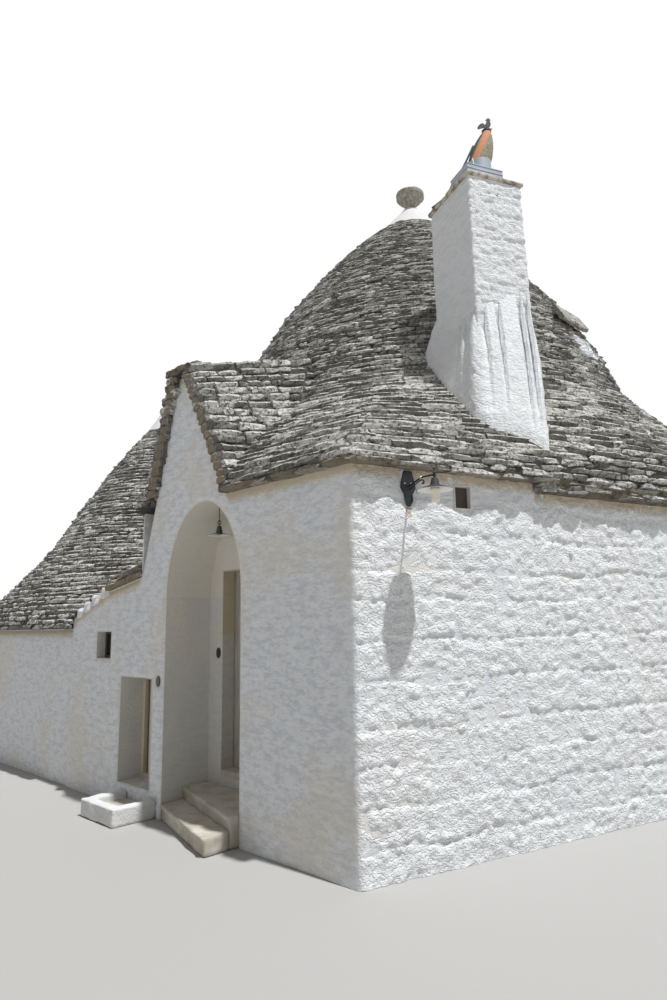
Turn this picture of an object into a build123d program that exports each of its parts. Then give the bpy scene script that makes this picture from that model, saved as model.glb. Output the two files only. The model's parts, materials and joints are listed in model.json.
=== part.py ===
from build123d import *
from math import atan2, cos, degrees, radians, sin, tan
import os

# Trullo house. Millimetres, +Z up, ground at z = 0.
# The origin is on the ground at the entrance centre line, on the face of the front wall.
# The front wall looks along -Y, and the side wall runs back from the right corner.

# Main block: corner, wall directions (degrees from +X) and walls
CORNER_X = 1965.0
SIDE_ANGLE = 73.2
SIDE_LENGTH = 6900.0
BACK_ANGLE = 168.0
LEFT_X = -4515.0
INNER_ANGLE = 135.0
WALL_T = 850.0
WALL_TOP = 3010.0
EAVE_SLAB_T = 40.0
EAVE_OVERHANG = 100.0
EAVE_SEAT = 750.0
EAVE_DROP = 90.0
EAVE_DROP_S = 1900.0

# Portal: arched niche in the front wall under a gable
NICHE_W = 1210.0
NICHE_DEPTH = 530.0
NICHE_SPRING_Z = 2100.0
NICHE_RISE = 890.0
GABLE_LEFT_X = -1085.0
GABLE_LEFT_Z = 2360.0
GABLE_RIGHT_X = 405.0
GABLE_TOP_LEFT_X = -450.0
GABLE_TOP_RIGHT_X = -293.0
GABLE_TOP_Z = 4370.0
GABLE_ROOF_T = 130.0
GABLE_ROOF_PROUD = 60.0
GABLE_SLOPE = 0.33
GABLE_RIDGE_T = 40.0
CONE_CLEARANCE = 4.0
RIDGE_SLAB_W = 430.0
RIDGE_SLAB_L = 330.0
RIDGE_SLAB_T = 75.0
RIDGE_SLAB_OUT = 40.0

# Doorway, door, floor and steps
DOOR_W = 760.0
DOOR_TOP_Z = 2370.0
DOOR_T = 50.0
DOOR_REVEAL = 120.0
DOOR_GAP = 5.0
FLOOR_Z = 400.0
SILL_T = 60.0
STEP_SKEW = 16.0
LOWER_STEP_Z = 150.0
UPPER_STEP_Z = 260.0
UPPER_STEP_SETBACK = 250.0
TREAD_T = 40.0
NOSING = 20.0

# Main roof: plan centre, skirt over the walls, cone, limewashed cap and pinnacle.
# A skirt level is height above the eave, radius, and share of the eave's own shape.
AXIS_X = -615.0
AXIS_Y = 4370.0
SKIRT_LEVELS = [
    (0.0, 4100.0, 1.0),
    (350.0, 3850.0, 0.62),
    (750.0, 3480.0, 0.3),
    (1150.0, 3170.0, 0.1),
    (1550.0, 2920.0, 0.0),
]
SKIRT_SEAT = 60.0
CONE_LEVELS = [(2250.0, 2640.0), (3120.0, 2130.0), (3900.0, 1520.0), (4500.0, 960.0)]
CONE_T = 400.0
CAP_R = 600.0
CAP_Z = 7880.0
CAP_TOP_R = 95.0
CAP_TOP_Z = 8470.0
STEM_R = 85.0
STEM_H = 110.0
DISC_R = 228.0
DISC_T = 220.0
RING_STEPS = 6

# Annex at the left with the second cone
ANNEX_LEFT_X = -6650.0
ANNEX_BACK_Y = 4560.0
ANNEX_WALL_T = 500.0
ANNEX_EAVE_Z = 1800.0
ANNEX_AXIS_X = -4300.0
ANNEX_AXIS_Y = 2230.0
ANNEX_LEVELS = [
    (0.0, 2350.0, 1.0),
    (350.0, 2180.0, 0.55),
    (750.0, 1960.0, 0.2),
    (1150.0, 1730.0, 0.0),
]
ANNEX_SKIRT_T = 450.0
ANNEX_CONE_LEVELS = [(1720.0, 1390.0), (2370.0, 980.0)]
ANNEX_CONE_T = 300.0
ANNEX_CAP_R = 380.0
ANNEX_CAP_Z = 4990.0
ANNEX_CAP_TOP_Z = 5500.0
ANNEX_CAP_TOP_R = 70.0
ANNEX_STEM_R = 60.0
ANNEX_STEM_H = 60.0
ANNEX_DISC_R = 140.0
ANNEX_DISC_T = 110.0
PARTY_LINE_X = -2685.0
FAR_WALL_SETBACK = 30.0
ANNEX_TOP_LINE = [(-1085.0, 2330.0), (-1880.0, 2200.0), (-2210.0, 2080.0), (-2685.0, 1910.0)]
ANNEX_FLOOR_Z = 150.0

# Openings of the annex and of the side wall, with the light well's kerb
LOW_LEFT_X = -1465.0
LOW_RIGHT_X = -835.0
LOW_TOP_Z = 1290.0
LOW_SILL_Z = 230.0
LOW_SETBACK = 270.0
LOW_REACH = 1600.0
GRILLE_BAR = 45.0
GRILLE_T = 40.0
GRILLE_BARS = 3
WINDOW_RIGHT_X = -1725.0
WINDOW_W = 330.0
WINDOW_Z = (1470.0, 1760.0)
WINDOW_SETBACK = 120.0
WINDOW_T = 30.0
VENT_S = 1075.0
VENT_W = 165.0
VENT_Z = (2730.0, 2915.0)
VENT_SETBACK = 40.0
VENT_T = 30.0
VENT_JAMB = 100.0
KERB_LEFT_X = -1350.0
KERB_RIGHT_X = -690.0
KERB_OUT = 450.0
KERB_W = 110.0
KERB_TOP_Z = 165.0
WELL_TOP_Z = 100.0

# Chimney, its cover slab and its flue
CHIMNEY_S = 1767.0
CHIMNEY_INSET = 457.0
CHIMNEY_TURN = 8.0
CHIMNEY_W = 700.0
CHIMNEY_TOP_W = 640.0
CHIMNEY_DEPTH = 780.0
CHIMNEY_TOP_Z = 6390.0
COVER_T = 45.0
COVER_OUT = 30.0
FLUE_D = 200.0

# Cowl on the chimney: tray, collar and two leaning roof tiles; places are from the stack's middle
TRAY_U = -135.0
TRAY_V = 225.0
TRAY_W = 435.0
TRAY_D = 330.0
TRAY_H = 95.0
SHEET_T = 3.0
COLLAR_U = -80.0
COLLAR_V = 215.0
COLLAR_R = 125.0
COLLAR_H = 265.0
TILE_H = 450.0
TILE_T = 14.0
TILE_TOP_U = 60.0
TILE_TOP_V = 190.0
TILE_TOP_R = 45.0
TILE_BELLY_R = 108.0
TILE_SLIT = 16.0

# Weathercock on its spindle
SPINDLE_D = 10.0
SPINDLE_CAP_R = 52.0
SPINDLE_CAP_T = 22.0
SPINDLE_L = 46.0
RUNNING_GAP = 0.05
SHOULDER_GAP = 0.3
HUB_D = 20.0
HUB_L = 54.0
COCK_L = 165.0
COCK_H = 175.0
COCK_T = 4.0
COCK_TURN = 44.0

# Wall lamp on the side wall
LAMP_S = 518.0
LAMP_PLATE_Z = (2715.0, 2997.0)
LAMP_PLATE_W = 140.0
LAMP_PLATE_T = 16.0
LAMP_REACH = 358.0
LAMP_ARM_D = 14.0
LAMP_ARM_FOOT_Z = 2868.0
LAMP_KNOT_OUT = 195.0
LAMP_KNOT_Z = 2908.0
LAMP_ARM_END_Z = 2897.0
LAMP_ARM_BEND = 250.0
LAMP_STEM_D = 16.0
LAMP_RING_D = 32.0
LAMP_RING_Z = (2886.0, 2909.0)
LAMP_BALL_Z = 2947.0
LAMP_BALL_D = 24.0
LAMP_RIM_Z = 2776.0
LAMP_SHADE_R = 143.0
LAMP_SHADE_H = 39.0
LAMP_BELL_R = 38.0
LAMP_BELL_H = 54.0
BULB_R = 32.0
BULB_ROUND = 12.0
BULB_BOTTOM_Z = 2686.0

# Pendant lamp in the niche, and the number plates
PENDANT_X = -107.0
PENDANT_Y = 275.0
PENDANT_RIM_Z = 2690.0
PENDANT_SHADE_R = 132.0
PENDANT_SHADE_H = 28.0
PENDANT_BELL_R = 34.0
PENDANT_BELL_H = 70.0
PENDANT_ROD_D = 8.0
PLATE_W = 66.0
PLATE_H = 105.0
PLATE_T = 10.0
NICHE_PLATE = (-440.0, 1530.0)
WALL_PLATE = (-712.0, 1270.0)

# Shared levels and lengths that only reach past what they cut
EAVE_Z = WALL_TOP + EAVE_SLAB_T
SKIRT_TOP_Z = EAVE_Z + SKIRT_LEVELS[-1][0]
ANNEX_SKIRT_TOP_Z = ANNEX_EAVE_Z + ANNEX_LEVELS[-1][0]
NICHE_R = NICHE_W / 2
SKIRT_T = EAVE_OVERHANG + NICHE_DEPTH + SKIRT_SEAT
STEP_DROP = NICHE_W * tan(radians(STEP_SKEW))
QUARTER = 90.0
PAST = 10.0
FAR = 9000.0


def direction(angle):
    return Vector(cos(radians(angle)), sin(radians(angle)), 0)


def meet(p, a, q, b):
    # Crossing of the line through p at angle a with the line through q at angle b
    u = direction(a)
    v = direction(b)
    w = q - p
    t = (w.X * v.Y - w.Y * v.X) / (u.X * v.Y - u.Y * v.X)
    return p + u * t


def outline(offset=0.0):
    # Corners of the main block, counter-clockwise from the front right, moved out by the offset
    sides = [
        (Vector(CORNER_X, 0), SIDE_ANGLE),
        (Vector(CORNER_X, 0) + direction(SIDE_ANGLE) * SIDE_LENGTH, BACK_ANGLE),
        (Vector(LEFT_X, AXIS_Y), -QUARTER),
        (Vector(GABLE_LEFT_X, 0), INNER_ANGLE - 180.0),
        (Vector(0, 0), 0.0),
    ]
    moved = [(p + direction(a - QUARTER) * offset, a) for p, a in sides]
    return [meet(*moved[i - 1], *moved[i]) for i in range(len(moved))]


def prism(points, low, high):
    flat = [Vector(p.X, p.Y, low) for p in points]
    return extrude(make_face(Polyline(*flat, close=True)), amount=high - low, dir=(0, 0, 1))


def box(x0, x1, y0, y1, z0, z1):
    return Pos((x0 + x1) / 2, (y0 + y1) / 2, (z0 + z1) / 2) * Box(x1 - x0, y1 - y0, z1 - z0)


def post(radius, x, y, z0, z1):
    return Pos(x, y, (z0 + z1) / 2) * Cylinder(radius, z1 - z0)


def along_y(points, y0, y1, rise=0.0):
    # Prism of a face in the X-Z plane from y0 to y1, tilted up towards the back
    near = [Vector(p.X, y0, p.Z) for p in points]
    way = Vector(0, y1 - y0, rise)
    return extrude(make_face(Polyline(*near, close=True)), amount=way.length, dir=way)


def revolved(points, x, y):
    # Solid of revolution of (radius, height) points about the upright line at x, y
    flat = [(r, 0, z) for r, z in points]
    closed = [(0, 0, points[0][1])] + flat + [(0, 0, points[-1][1])]
    return Pos(x, y, 0) * revolve(make_face(Polyline(*closed, close=True)), Axis.Z)


def largest(shape):
    return max(shape.solids(), key=lambda solid: solid.volume)


# Plan corners and shared directions
CORNERS = outline()
EAVES = outline(EAVE_OVERHANG)
ROOM = outline(-WALL_T)
SEAT = outline(-EAVE_SEAT)
CENTRE = Vector(AXIS_X, AXIS_Y)
ANNEX_CENTRE = Vector(ANNEX_AXIS_X, ANNEX_AXIS_Y)
SIDE = direction(SIDE_ANGLE)
SIDE_OUT = direction(SIDE_ANGLE - QUARTER)
FACE = direction(SIDE_ANGLE - CHIMNEY_TURN)
FACE_OUT = direction(SIDE_ANGLE - CHIMNEY_TURN - QUARTER)


def wall(i, inner, low, high):
    # Strip number i of the main block, from its face to an inner outline, mitred at both ends
    outer = CORNERS if inner is ROOM else EAVES
    j = (i + 1) % len(outer)
    return prism([outer[i], outer[j], inner[j], inner[i]], low, high)


def main_block():
    # Everything inside the main walls' faces, with the eave course on top
    return prism(CORNERS, -PAST, WALL_TOP) + prism(EAVES, WALL_TOP, EAVE_Z)


def plan_reach(corners, centre, angle):
    # Distance from the centre to the outline in one direction
    ray = direction(angle)
    reaches = []
    for a, b in zip(corners, corners[1:] + corners[:1]):
        edge = b - a
        across = ray.X * edge.Y - ray.Y * edge.X
        if across > 1e-9:
            gap = a - centre
            reaches.append((gap.X * edge.Y - gap.Y * edge.X) / across)
    return min(reaches)


def ring(corners, centre, z, radius, stretch, thickness):
    # One level of a roof: a circle, drawn out towards the eave's own shape
    angles = [degrees(atan2(p.Y - centre.Y, p.X - centre.X)) for p in corners]
    edges = []
    for a, b in zip(angles, angles[1:] + angles[:1]):
        span = (b - a) % 360.0
        points = []
        for k in range(RING_STEPS + 1):
            angle = a + span * k / RING_STEPS
            reach = radius + stretch * (plan_reach(corners, centre, angle) - radius) - thickness
            spot = centre + direction(angle) * reach
            points.append(Vector(spot.X, spot.Y, z))
        edges.append(Spline(*points))
    return Wire(edges)


def skirt(corners, centre, eave_z, levels, thickness):
    rings = [ring(corners, centre, eave_z + h, r, s, thickness) for h, r, s in levels]
    return Solid.make_loft(rings)


def main_skirt(thickness):
    return skirt(EAVES, CENTRE, EAVE_Z, SKIRT_LEVELS, thickness)


def cone_shell(levels, thickness, x, y):
    inner = [(r - thickness, z) for r, z in levels]
    return revolved(levels, x, y) - revolved(inner, x, y)


def pinnacle(z, stem_r, stem_h, disc_r, disc_t, x, y):
    # Round stem, flared under a thick disc whose top is domed
    foot = z + stem_h
    rim = disc_t * 0.35
    profile = [(stem_r, z), (stem_r, z + 0.6 * stem_h), (1.4 * stem_r, foot), (disc_r - rim, foot)]
    profile += [(disc_r, foot + rim)]
    profile += [(disc_r, foot + 2 * rim), (disc_r * 0.55, foot + disc_t), (disc_r * 0.2, foot + disc_t * 1.12)]
    return revolved(profile, x, y)


def gable_core():
    # Outline of the gable's face above the wall, from the right foot over the flat top to the left foot
    return [
        Vector(GABLE_RIGHT_X, 0, EAVE_Z),
        Vector(GABLE_TOP_RIGHT_X, 0, GABLE_TOP_Z),
        Vector(GABLE_TOP_LEFT_X, 0, GABLE_TOP_Z),
        Vector(GABLE_LEFT_X, 0, GABLE_LEFT_Z),
    ]


def sloped(points, y0, y1):
    # Prism of a face in the X-Z plane, given at y = 0, that rises with the gable's ridge
    lowered = [Vector(p.X, 0, p.Z + GABLE_SLOPE * y0) for p in points]
    return along_y(lowered, y0, y1, GABLE_SLOPE * (y1 - y0))


def under_gable(y0, y1):
    feet = [Vector(GABLE_LEFT_X, 0, 0), Vector(GABLE_RIGHT_X, 0, 0)]
    return sloped(feet + gable_core(), y0, y1)


def gable_cover():
    # Stone covering on both gable slopes, cut level at the ridge
    right, top_right, top_left, left = gable_core()
    right_run = (top_right - right).normalized()
    left_run = (left - top_left).normalized()
    top = GABLE_TOP_Z + GABLE_RIDGE_T
    a = right + Vector(right_run.Z, 0, -right_run.X) * GABLE_ROOF_T
    b = left + Vector(left_run.Z, 0, -left_run.X) * GABLE_ROOF_T
    c = a + right_run * ((top - a.Z) / right_run.Z)
    d = b + left_run * ((top - b.Z) / left_run.Z)
    return sloped([right, a, c, d, b, left, top_left, top_right], -GABLE_ROOF_PROUD, AXIS_Y)


def ridge_slab():
    low = GABLE_TOP_Z + GABLE_RIDGE_T
    middle = (GABLE_TOP_LEFT_X + GABLE_TOP_RIGHT_X) / 2
    left = middle - RIDGE_SLAB_W / 2
    right = middle + RIDGE_SLAB_W / 2
    face = [Vector(left, 0, low), Vector(right, 0, low)]
    face += [Vector(right, 0, low + RIDGE_SLAB_T), Vector(left, 0, low + RIDGE_SLAB_T)]
    near = -GABLE_ROOF_PROUD - RIDGE_SLAB_OUT
    return sloped(face, near, near + RIDGE_SLAB_L)


def niche():
    # Niche space: upright jambs below a half ellipse
    head = Plane.XZ * Ellipse(NICHE_R, NICHE_RISE)
    body = Plane.XZ * (Pos(0, -NICHE_SPRING_Z / 2) * Rectangle(NICHE_W, NICHE_SPRING_Z))
    return Pos(0, NICHE_DEPTH, NICHE_SPRING_Z) * extrude(head + body, amount=NICHE_DEPTH + PAST)


def low_opening():
    return box(LOW_LEFT_X, LOW_RIGHT_X, -PAST, LOW_REACH, LOW_SILL_Z, LOW_TOP_Z)


def portal():
    front = wall(4, ROOM, 0.0, WALL_TOP)
    pier = front & box(-FAR, -NICHE_R, -PAST, FAR, 0, NICHE_SPRING_Z)
    gable = under_gable(0, NICHE_DEPTH) & box(-FAR, FAR, 0, NICHE_DEPTH, NICHE_SPRING_Z, FAR)
    gable += box(GABLE_RIGHT_X, NICHE_R, 0, NICHE_DEPTH, NICHE_SPRING_Z, WALL_TOP)
    back = box(-NICHE_R, NICHE_R, NICHE_DEPTH, WALL_T, 0, WALL_TOP)
    back += box(-NICHE_R, GABLE_RIGHT_X, NICHE_DEPTH, WALL_T, WALL_TOP, EAVE_Z)
    back += front & box(-FAR, -NICHE_R, NICHE_DEPTH, FAR, NICHE_SPRING_Z, WALL_TOP)
    back -= box(-DOOR_W / 2, DOOR_W / 2, 0, FAR, FLOOR_Z - SILL_T, DOOR_TOP_Z)
    return {
        "front_wall": front & box(NICHE_R, FAR, -PAST, FAR, 0, WALL_TOP),
        "portal_pier": pier - low_opening(),
        "gable_wall": gable - niche(),
        "niche_back_wall": back,
    }


def inner_wall():
    # Slanting wall between the main room and the annex, cut away for the portal and the low opening
    portal_side = box(GABLE_LEFT_X, FAR, -PAST, NICHE_DEPTH, NICHE_SPRING_Z, FAR)
    return wall(3, ROOM, 0.0, WALL_TOP) - portal_side - low_opening()


def across_niche(front_y, back_y):
    # Plan of a piece across the niche whose front runs askew; a back that is given as None is straight
    right = Vector(NICHE_R, front_y - STEP_DROP)
    if back_y is None:
        back = [Vector(NICHE_R, NICHE_DEPTH), Vector(-NICHE_R, NICHE_DEPTH)]
    else:
        back = [Vector(NICHE_R, back_y - STEP_DROP), Vector(-NICHE_R, back_y)]
    return [Vector(-NICHE_R, front_y), right] + back


def step(front_y, back_y, top_z):
    # Block below, tread with a nosing above
    block = prism(across_niche(front_y, back_y), 0, top_z - TREAD_T)
    return block + prism(across_niche(front_y - NOSING, back_y), top_z - TREAD_T, top_z)


def entrance():
    leaf_y = WALL_T - DOOR_REVEAL
    half = DOOR_W / 2
    leaf = box(-half + DOOR_GAP, half - DOOR_GAP, leaf_y - DOOR_T, leaf_y, FLOOR_Z, DOOR_TOP_Z - DOOR_GAP)
    return {
        "entrance_door": leaf,
        "door_sill": box(-half, half, NICHE_DEPTH, WALL_T, FLOOR_Z - SILL_T, FLOOR_Z),
        "upper_step": step(UPPER_STEP_SETBACK, None, UPPER_STEP_Z),
        "lower_step": step(0.0, UPPER_STEP_SETBACK, LOWER_STEP_Z),
        "main_floor": prism(ROOM, 0, FLOOR_Z),
    }


def annex_front():
    # Outline of the annex's front wall, its top sloping down from the portal
    feet = [Vector(PARTY_LINE_X, 0, 0), Vector(GABLE_LEFT_X, 0, 0)]
    return feet + [Vector(x, 0, z) for x, z in ANNEX_TOP_LINE]


def annex_walls():
    t = ANNEX_WALL_T
    block = main_block()
    left = ANNEX_LEFT_X
    back = ANNEX_BACK_Y
    near = along_y(annex_front(), 0, t) - low_opening() - block
    window = box(WINDOW_RIGHT_X - WINDOW_W, WINDOW_RIGHT_X, -PAST, t + PAST, *WINDOW_Z)
    floor = box(left + t, GABLE_LEFT_X, t, back - t, 0, ANNEX_FLOOR_Z) - block
    pane_x = (WINDOW_RIGHT_X - WINDOW_W, WINDOW_RIGHT_X)
    return {
        "annex_wall": near - window,
        "annex_far_wall": box(left + t, PARTY_LINE_X, FAR_WALL_SETBACK, t, 0, ANNEX_EAVE_Z),
        "party_wall": box(left, left + t, FAR_WALL_SETBACK, back, 0, ANNEX_EAVE_Z),
        "annex_back_wall": box(left + t, 0, back - t, back, 0, ANNEX_EAVE_Z) - block,
        "annex_floor": largest(floor),
        "small_window": box(*pane_x, WINDOW_SETBACK, WINDOW_SETBACK + WINDOW_T, *WINDOW_Z),
        "low_grille": grille(),
    }


def grille():
    # Frame with upright bars in the low opening
    y0 = LOW_SETBACK
    y1 = LOW_SETBACK + GRILLE_T
    z0 = LOW_SILL_Z
    z1 = LOW_TOP_Z
    w = GRILLE_BAR
    bars = box(LOW_LEFT_X, LOW_RIGHT_X, y0, y1, z0, z1)
    bars -= box(LOW_LEFT_X + w, LOW_RIGHT_X - w, y0 - PAST, y1 + PAST, z0 + w, z1 - w)
    pitch = (LOW_RIGHT_X - LOW_LEFT_X - w) / (GRILLE_BARS + 1)
    for k in range(GRILLE_BARS):
        x = LOW_LEFT_X + pitch * (k + 1)
        bars += box(x, x + w, y0, y1, z0, z1)
    return bars


def light_well():
    # Low kerb round the well in front of the low opening, and the stone inside it
    outer = box(KERB_LEFT_X, KERB_RIGHT_X, -KERB_OUT, 0, 0, KERB_TOP_Z)
    inner = box(KERB_LEFT_X + KERB_W, KERB_RIGHT_X - KERB_W, KERB_W - KERB_OUT, 0, 0, KERB_TOP_Z)
    stone = box(KERB_LEFT_X + KERB_W, KERB_RIGHT_X - KERB_W, KERB_W - KERB_OUT, 0, 0, WELL_TOP_Z)
    return {"well_kerb": outer - inner, "well_floor": stone}


def eave_courses():
    names = ["side_eave", "back_eave", "left_eave", "inner_eave", "front_eave"]
    courses = {name: wall(i, SEAT, WALL_TOP, EAVE_Z) for i, name in enumerate(names)}
    # One more course hangs below the far part of the side eave
    drop_z = WALL_TOP - EAVE_DROP
    courses["side_eave"] += side_strip(EAVE_DROP_S, SIDE_LENGTH, 0, EAVE_OVERHANG, drop_z, WALL_TOP)
    courses["front_eave"] &= box(GABLE_RIGHT_X, FAR, -FAR, FAR, WALL_TOP, EAVE_Z)
    courses["inner_eave"] -= box(-FAR, FAR, -FAR, WALL_T, WALL_TOP, EAVE_Z)
    return courses


def main_roof():
    outer = main_skirt(0.0)
    stack = chimney_block()
    levels = [(SKIRT_LEVELS[-1][1], SKIRT_TOP_Z)]
    levels += [(r, EAVE_Z + h) for h, r in CONE_LEVELS] + [(CAP_R, CAP_Z)]
    cone = cone_shell(levels, CONE_T, AXIS_X, AXIS_Y)
    clear = [(SKIRT_LEVELS[-1][1] + CONE_CLEARANCE, EAVE_Z + SKIRT_LEVELS[-2][0])]
    clear += [(r + CONE_CLEARANCE, z) for r, z in levels]
    cover = gable_cover() - outer - main_block() - revolved(clear, AXIS_X, AXIS_Y)
    return {
        "lower_roof": outer - main_skirt(SKIRT_T) - under_gable(-FAR, NICHE_DEPTH) - stack,
        "gable_roof": largest(cover),
        "ridge_slab": ridge_slab(),
        "main_cone": cone - stack,
        "main_cap": revolved([(CAP_R, CAP_Z), (CAP_TOP_R, CAP_TOP_Z)], AXIS_X, AXIS_Y),
        "main_pinnacle": pinnacle(CAP_TOP_Z, STEM_R, STEM_H, DISC_R, DISC_T, AXIS_X, AXIS_Y),
    }


def annex_roof():
    x = ANNEX_AXIS_X
    y = ANNEX_AXIS_Y
    front_y = -EAVE_OVERHANG
    back_y = ANNEX_BACK_Y + EAVE_OVERHANG
    plan = [Vector(GABLE_LEFT_X, back_y), Vector(ANNEX_LEFT_X, back_y)]
    plan += [Vector(ANNEX_LEFT_X, front_y), Vector(GABLE_LEFT_X, front_y)]
    outer = skirt(plan, ANNEX_CENTRE, ANNEX_EAVE_Z, ANNEX_LEVELS, 0.0)
    inner = skirt(plan, ANNEX_CENTRE, ANNEX_EAVE_Z, ANNEX_LEVELS, ANNEX_SKIRT_T)
    levels = [(ANNEX_LEVELS[-1][1], ANNEX_SKIRT_TOP_Z)]
    levels += [(r, ANNEX_EAVE_Z + h) for h, r in ANNEX_CONE_LEVELS] + [(ANNEX_CAP_R, ANNEX_CAP_Z)]
    cone = cone_shell(levels, ANNEX_CONE_T, x, y)
    house = main_skirt(0.0) + main_block()
    front = along_y(annex_front(), -FAR, ANNEX_WALL_T)
    return {
        "annex_lower_roof": largest(outer - inner - house - front),
        "annex_cone": largest(cone - house),
        "annex_cap": revolved([(ANNEX_CAP_R, ANNEX_CAP_Z), (ANNEX_CAP_TOP_R, ANNEX_CAP_TOP_Z)], x, y),
        "annex_pinnacle": pinnacle(
            ANNEX_CAP_TOP_Z, ANNEX_STEM_R, ANNEX_STEM_H, ANNEX_DISC_R, ANNEX_DISC_T, x, y
        ),
    }


def stack_middle():
    corner = Vector(CORNER_X, 0) + SIDE * CHIMNEY_S - SIDE_OUT * CHIMNEY_INSET
    return corner + FACE * (CHIMNEY_W / 2) - FACE_OUT * (CHIMNEY_DEPTH / 2)


def on_stack(u, v, z):
    # Place on the chimney: u along its outer face, v out of it, from the stack's middle
    p = stack_middle() + FACE * u + FACE_OUT * v
    return Vector(p.X, p.Y, z)


def slab_on_stack(u0, u1, v0, v1, low, high):
    corners = [on_stack(u0, v0, 0), on_stack(u0, v1, 0), on_stack(u1, v1, 0), on_stack(u1, v0, 0)]
    return prism(corners, low, high)


def chimney_block():
    # Stack from the eave to its top, its right side leaning in
    u = CHIMNEY_W / 2
    v = CHIMNEY_DEPTH / 2
    sections = []
    for z, right in ((EAVE_Z, u), (CHIMNEY_TOP_Z, CHIMNEY_TOP_W - u)):
        corners = [on_stack(-u, -v, z), on_stack(-u, v, z), on_stack(right, v, z), on_stack(right, -v, z)]
        sections.append(make_face(Polyline(*corners, close=True)))
    return loft(sections, ruled=True)


def chimney():
    u = CHIMNEY_W / 2
    v = CHIMNEY_DEPTH / 2 + COVER_OUT
    top = CHIMNEY_TOP_Z + COVER_T
    centre = on_stack(COLLAR_U, COLLAR_V, 0)
    flue = post(FLUE_D / 2, centre.X, centre.Y, EAVE_Z - PAST, top + TRAY_H + PAST)
    stack = largest(chimney_block() - main_skirt(SKIRT_T))
    cover = slab_on_stack(-u - COVER_OUT, CHIMNEY_TOP_W - u + COVER_OUT, -v, v, CHIMNEY_TOP_Z, top)
    tray_u = (TRAY_U - TRAY_W / 2, TRAY_U + TRAY_W / 2)
    tray_v = (TRAY_V - TRAY_D / 2, TRAY_V + TRAY_D / 2)
    tray = slab_on_stack(*tray_u, *tray_v, top, top + TRAY_H)
    collar = post(COLLAR_R, centre.X, centre.Y, top + TRAY_H, top + COLLAR_H)
    collar -= post(COLLAR_R - SHEET_T, centre.X, centre.Y, top, top + COLLAR_H + PAST)
    return {
        "chimney_stack": stack - flue,
        "chimney_slab": cover - flue,
        "cowl_tray": tray - flue,
        "cowl_collar": collar,
    }


def half_ring(u, v, z, radius, side):
    # Section of a curved tile: half a ring, open along the slit between the two tiles
    centre = on_stack(u, v, z)
    plane = Plane(origin=(centre.X, centre.Y, z), x_dir=FACE, z_dir=(0, 0, 1))
    disc = Circle(radius) - Circle(radius - TILE_T)
    half = Pos(0, -side * (radius + TILE_SLIT / 2)) * Rectangle(3 * radius, 2 * radius)
    return plane * (disc & half)


def cowl_tiles():
    foot = CHIMNEY_TOP_Z + COVER_T + COLLAR_H
    tiles = {}
    for name, side in (("cowl_tile_near", 1), ("cowl_tile_far", -1)):
        levels = [(0.0, COLLAR_R), (0.55, TILE_BELLY_R), (1.0, TILE_TOP_R)]
        sections = []
        for share, radius in levels:
            u = COLLAR_U + share * (TILE_TOP_U - COLLAR_U)
            v = COLLAR_V + share * (TILE_TOP_V - COLLAR_V)
            sections.append(half_ring(u, v, foot + share * TILE_H, radius, side))
        tiles[name] = loft(sections)
    return tiles


def weathercock():
    place = on_stack(TILE_TOP_U, TILE_TOP_V, 0)
    base = CHIMNEY_TOP_Z + COVER_T + COLLAR_H + TILE_H
    shoulder = base + SPINDLE_CAP_T
    foot = shoulder + SHOULDER_GAP
    spindle = post(SPINDLE_CAP_R, place.X, place.Y, base, shoulder)
    spindle += post(SPINDLE_D / 2, place.X, place.Y, shoulder, shoulder + SPINDLE_L)
    hub = post(HUB_D / 2, place.X, place.Y, foot, foot + HUB_L)
    x = COCK_L / 2
    h = COCK_H
    bird = Pos(-0.05 * x, 0.42 * h) * Ellipse(0.42 * x, 0.2 * h)
    bird += Polygon((-x, 0.12 * h), (-0.2 * x, 0.3 * h), (-0.35 * x, 0.6 * h), (-0.8 * x, 0.62 * h), align=None)
    bird += Polygon((0.0, 0.4 * h), (0.35 * x, 0.42 * h), (0.62 * x, 0.84 * h), (0.4 * x, 0.9 * h), align=None)
    bird += Pos(0.5 * x, 0.86 * h) * Circle(0.09 * h)
    bird += Polygon((0.6 * x, 0.8 * h), (x, 0.84 * h), (0.6 * x, 0.92 * h), align=None)
    bird += Polygon((0.3 * x, 0.9 * h), (0.66 * x, 0.9 * h), (0.5 * x, h), align=None)
    facing = direction(COCK_TURN - QUARTER)
    plane = Plane(origin=(place.X, place.Y, foot), x_dir=direction(COCK_TURN), z_dir=facing)
    figure = extrude(plane.offset(-COCK_T / 2) * bird, amount=COCK_T)
    bore = SPINDLE_D / 2 + RUNNING_GAP
    figure += hub
    figure -= post(bore, place.X, place.Y, foot - PAST, shoulder + SPINDLE_L + SHOULDER_GAP)
    return {"vane_spindle": spindle, "weathercock": figure}


def on_side(s, out, z):
    # Place on the side wall: distance from the corner, distance out of the face, height
    p = Vector(CORNER_X, 0) + SIDE * s + SIDE_OUT * out
    return Vector(p.X, p.Y, z)


def side_plane(s, out, z):
    return Plane(origin=on_side(s, out, z), x_dir=SIDE, z_dir=SIDE_OUT)


def side_strip(s0, s1, in_out, out, low, high):
    # Block along the side wall: two distances from the corner, two distances out of the face, two heights
    corners = [on_side(s0, in_out, 0), on_side(s0, out, 0), on_side(s1, out, 0), on_side(s1, in_out, 0)]
    return prism(corners, low, high)


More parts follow.
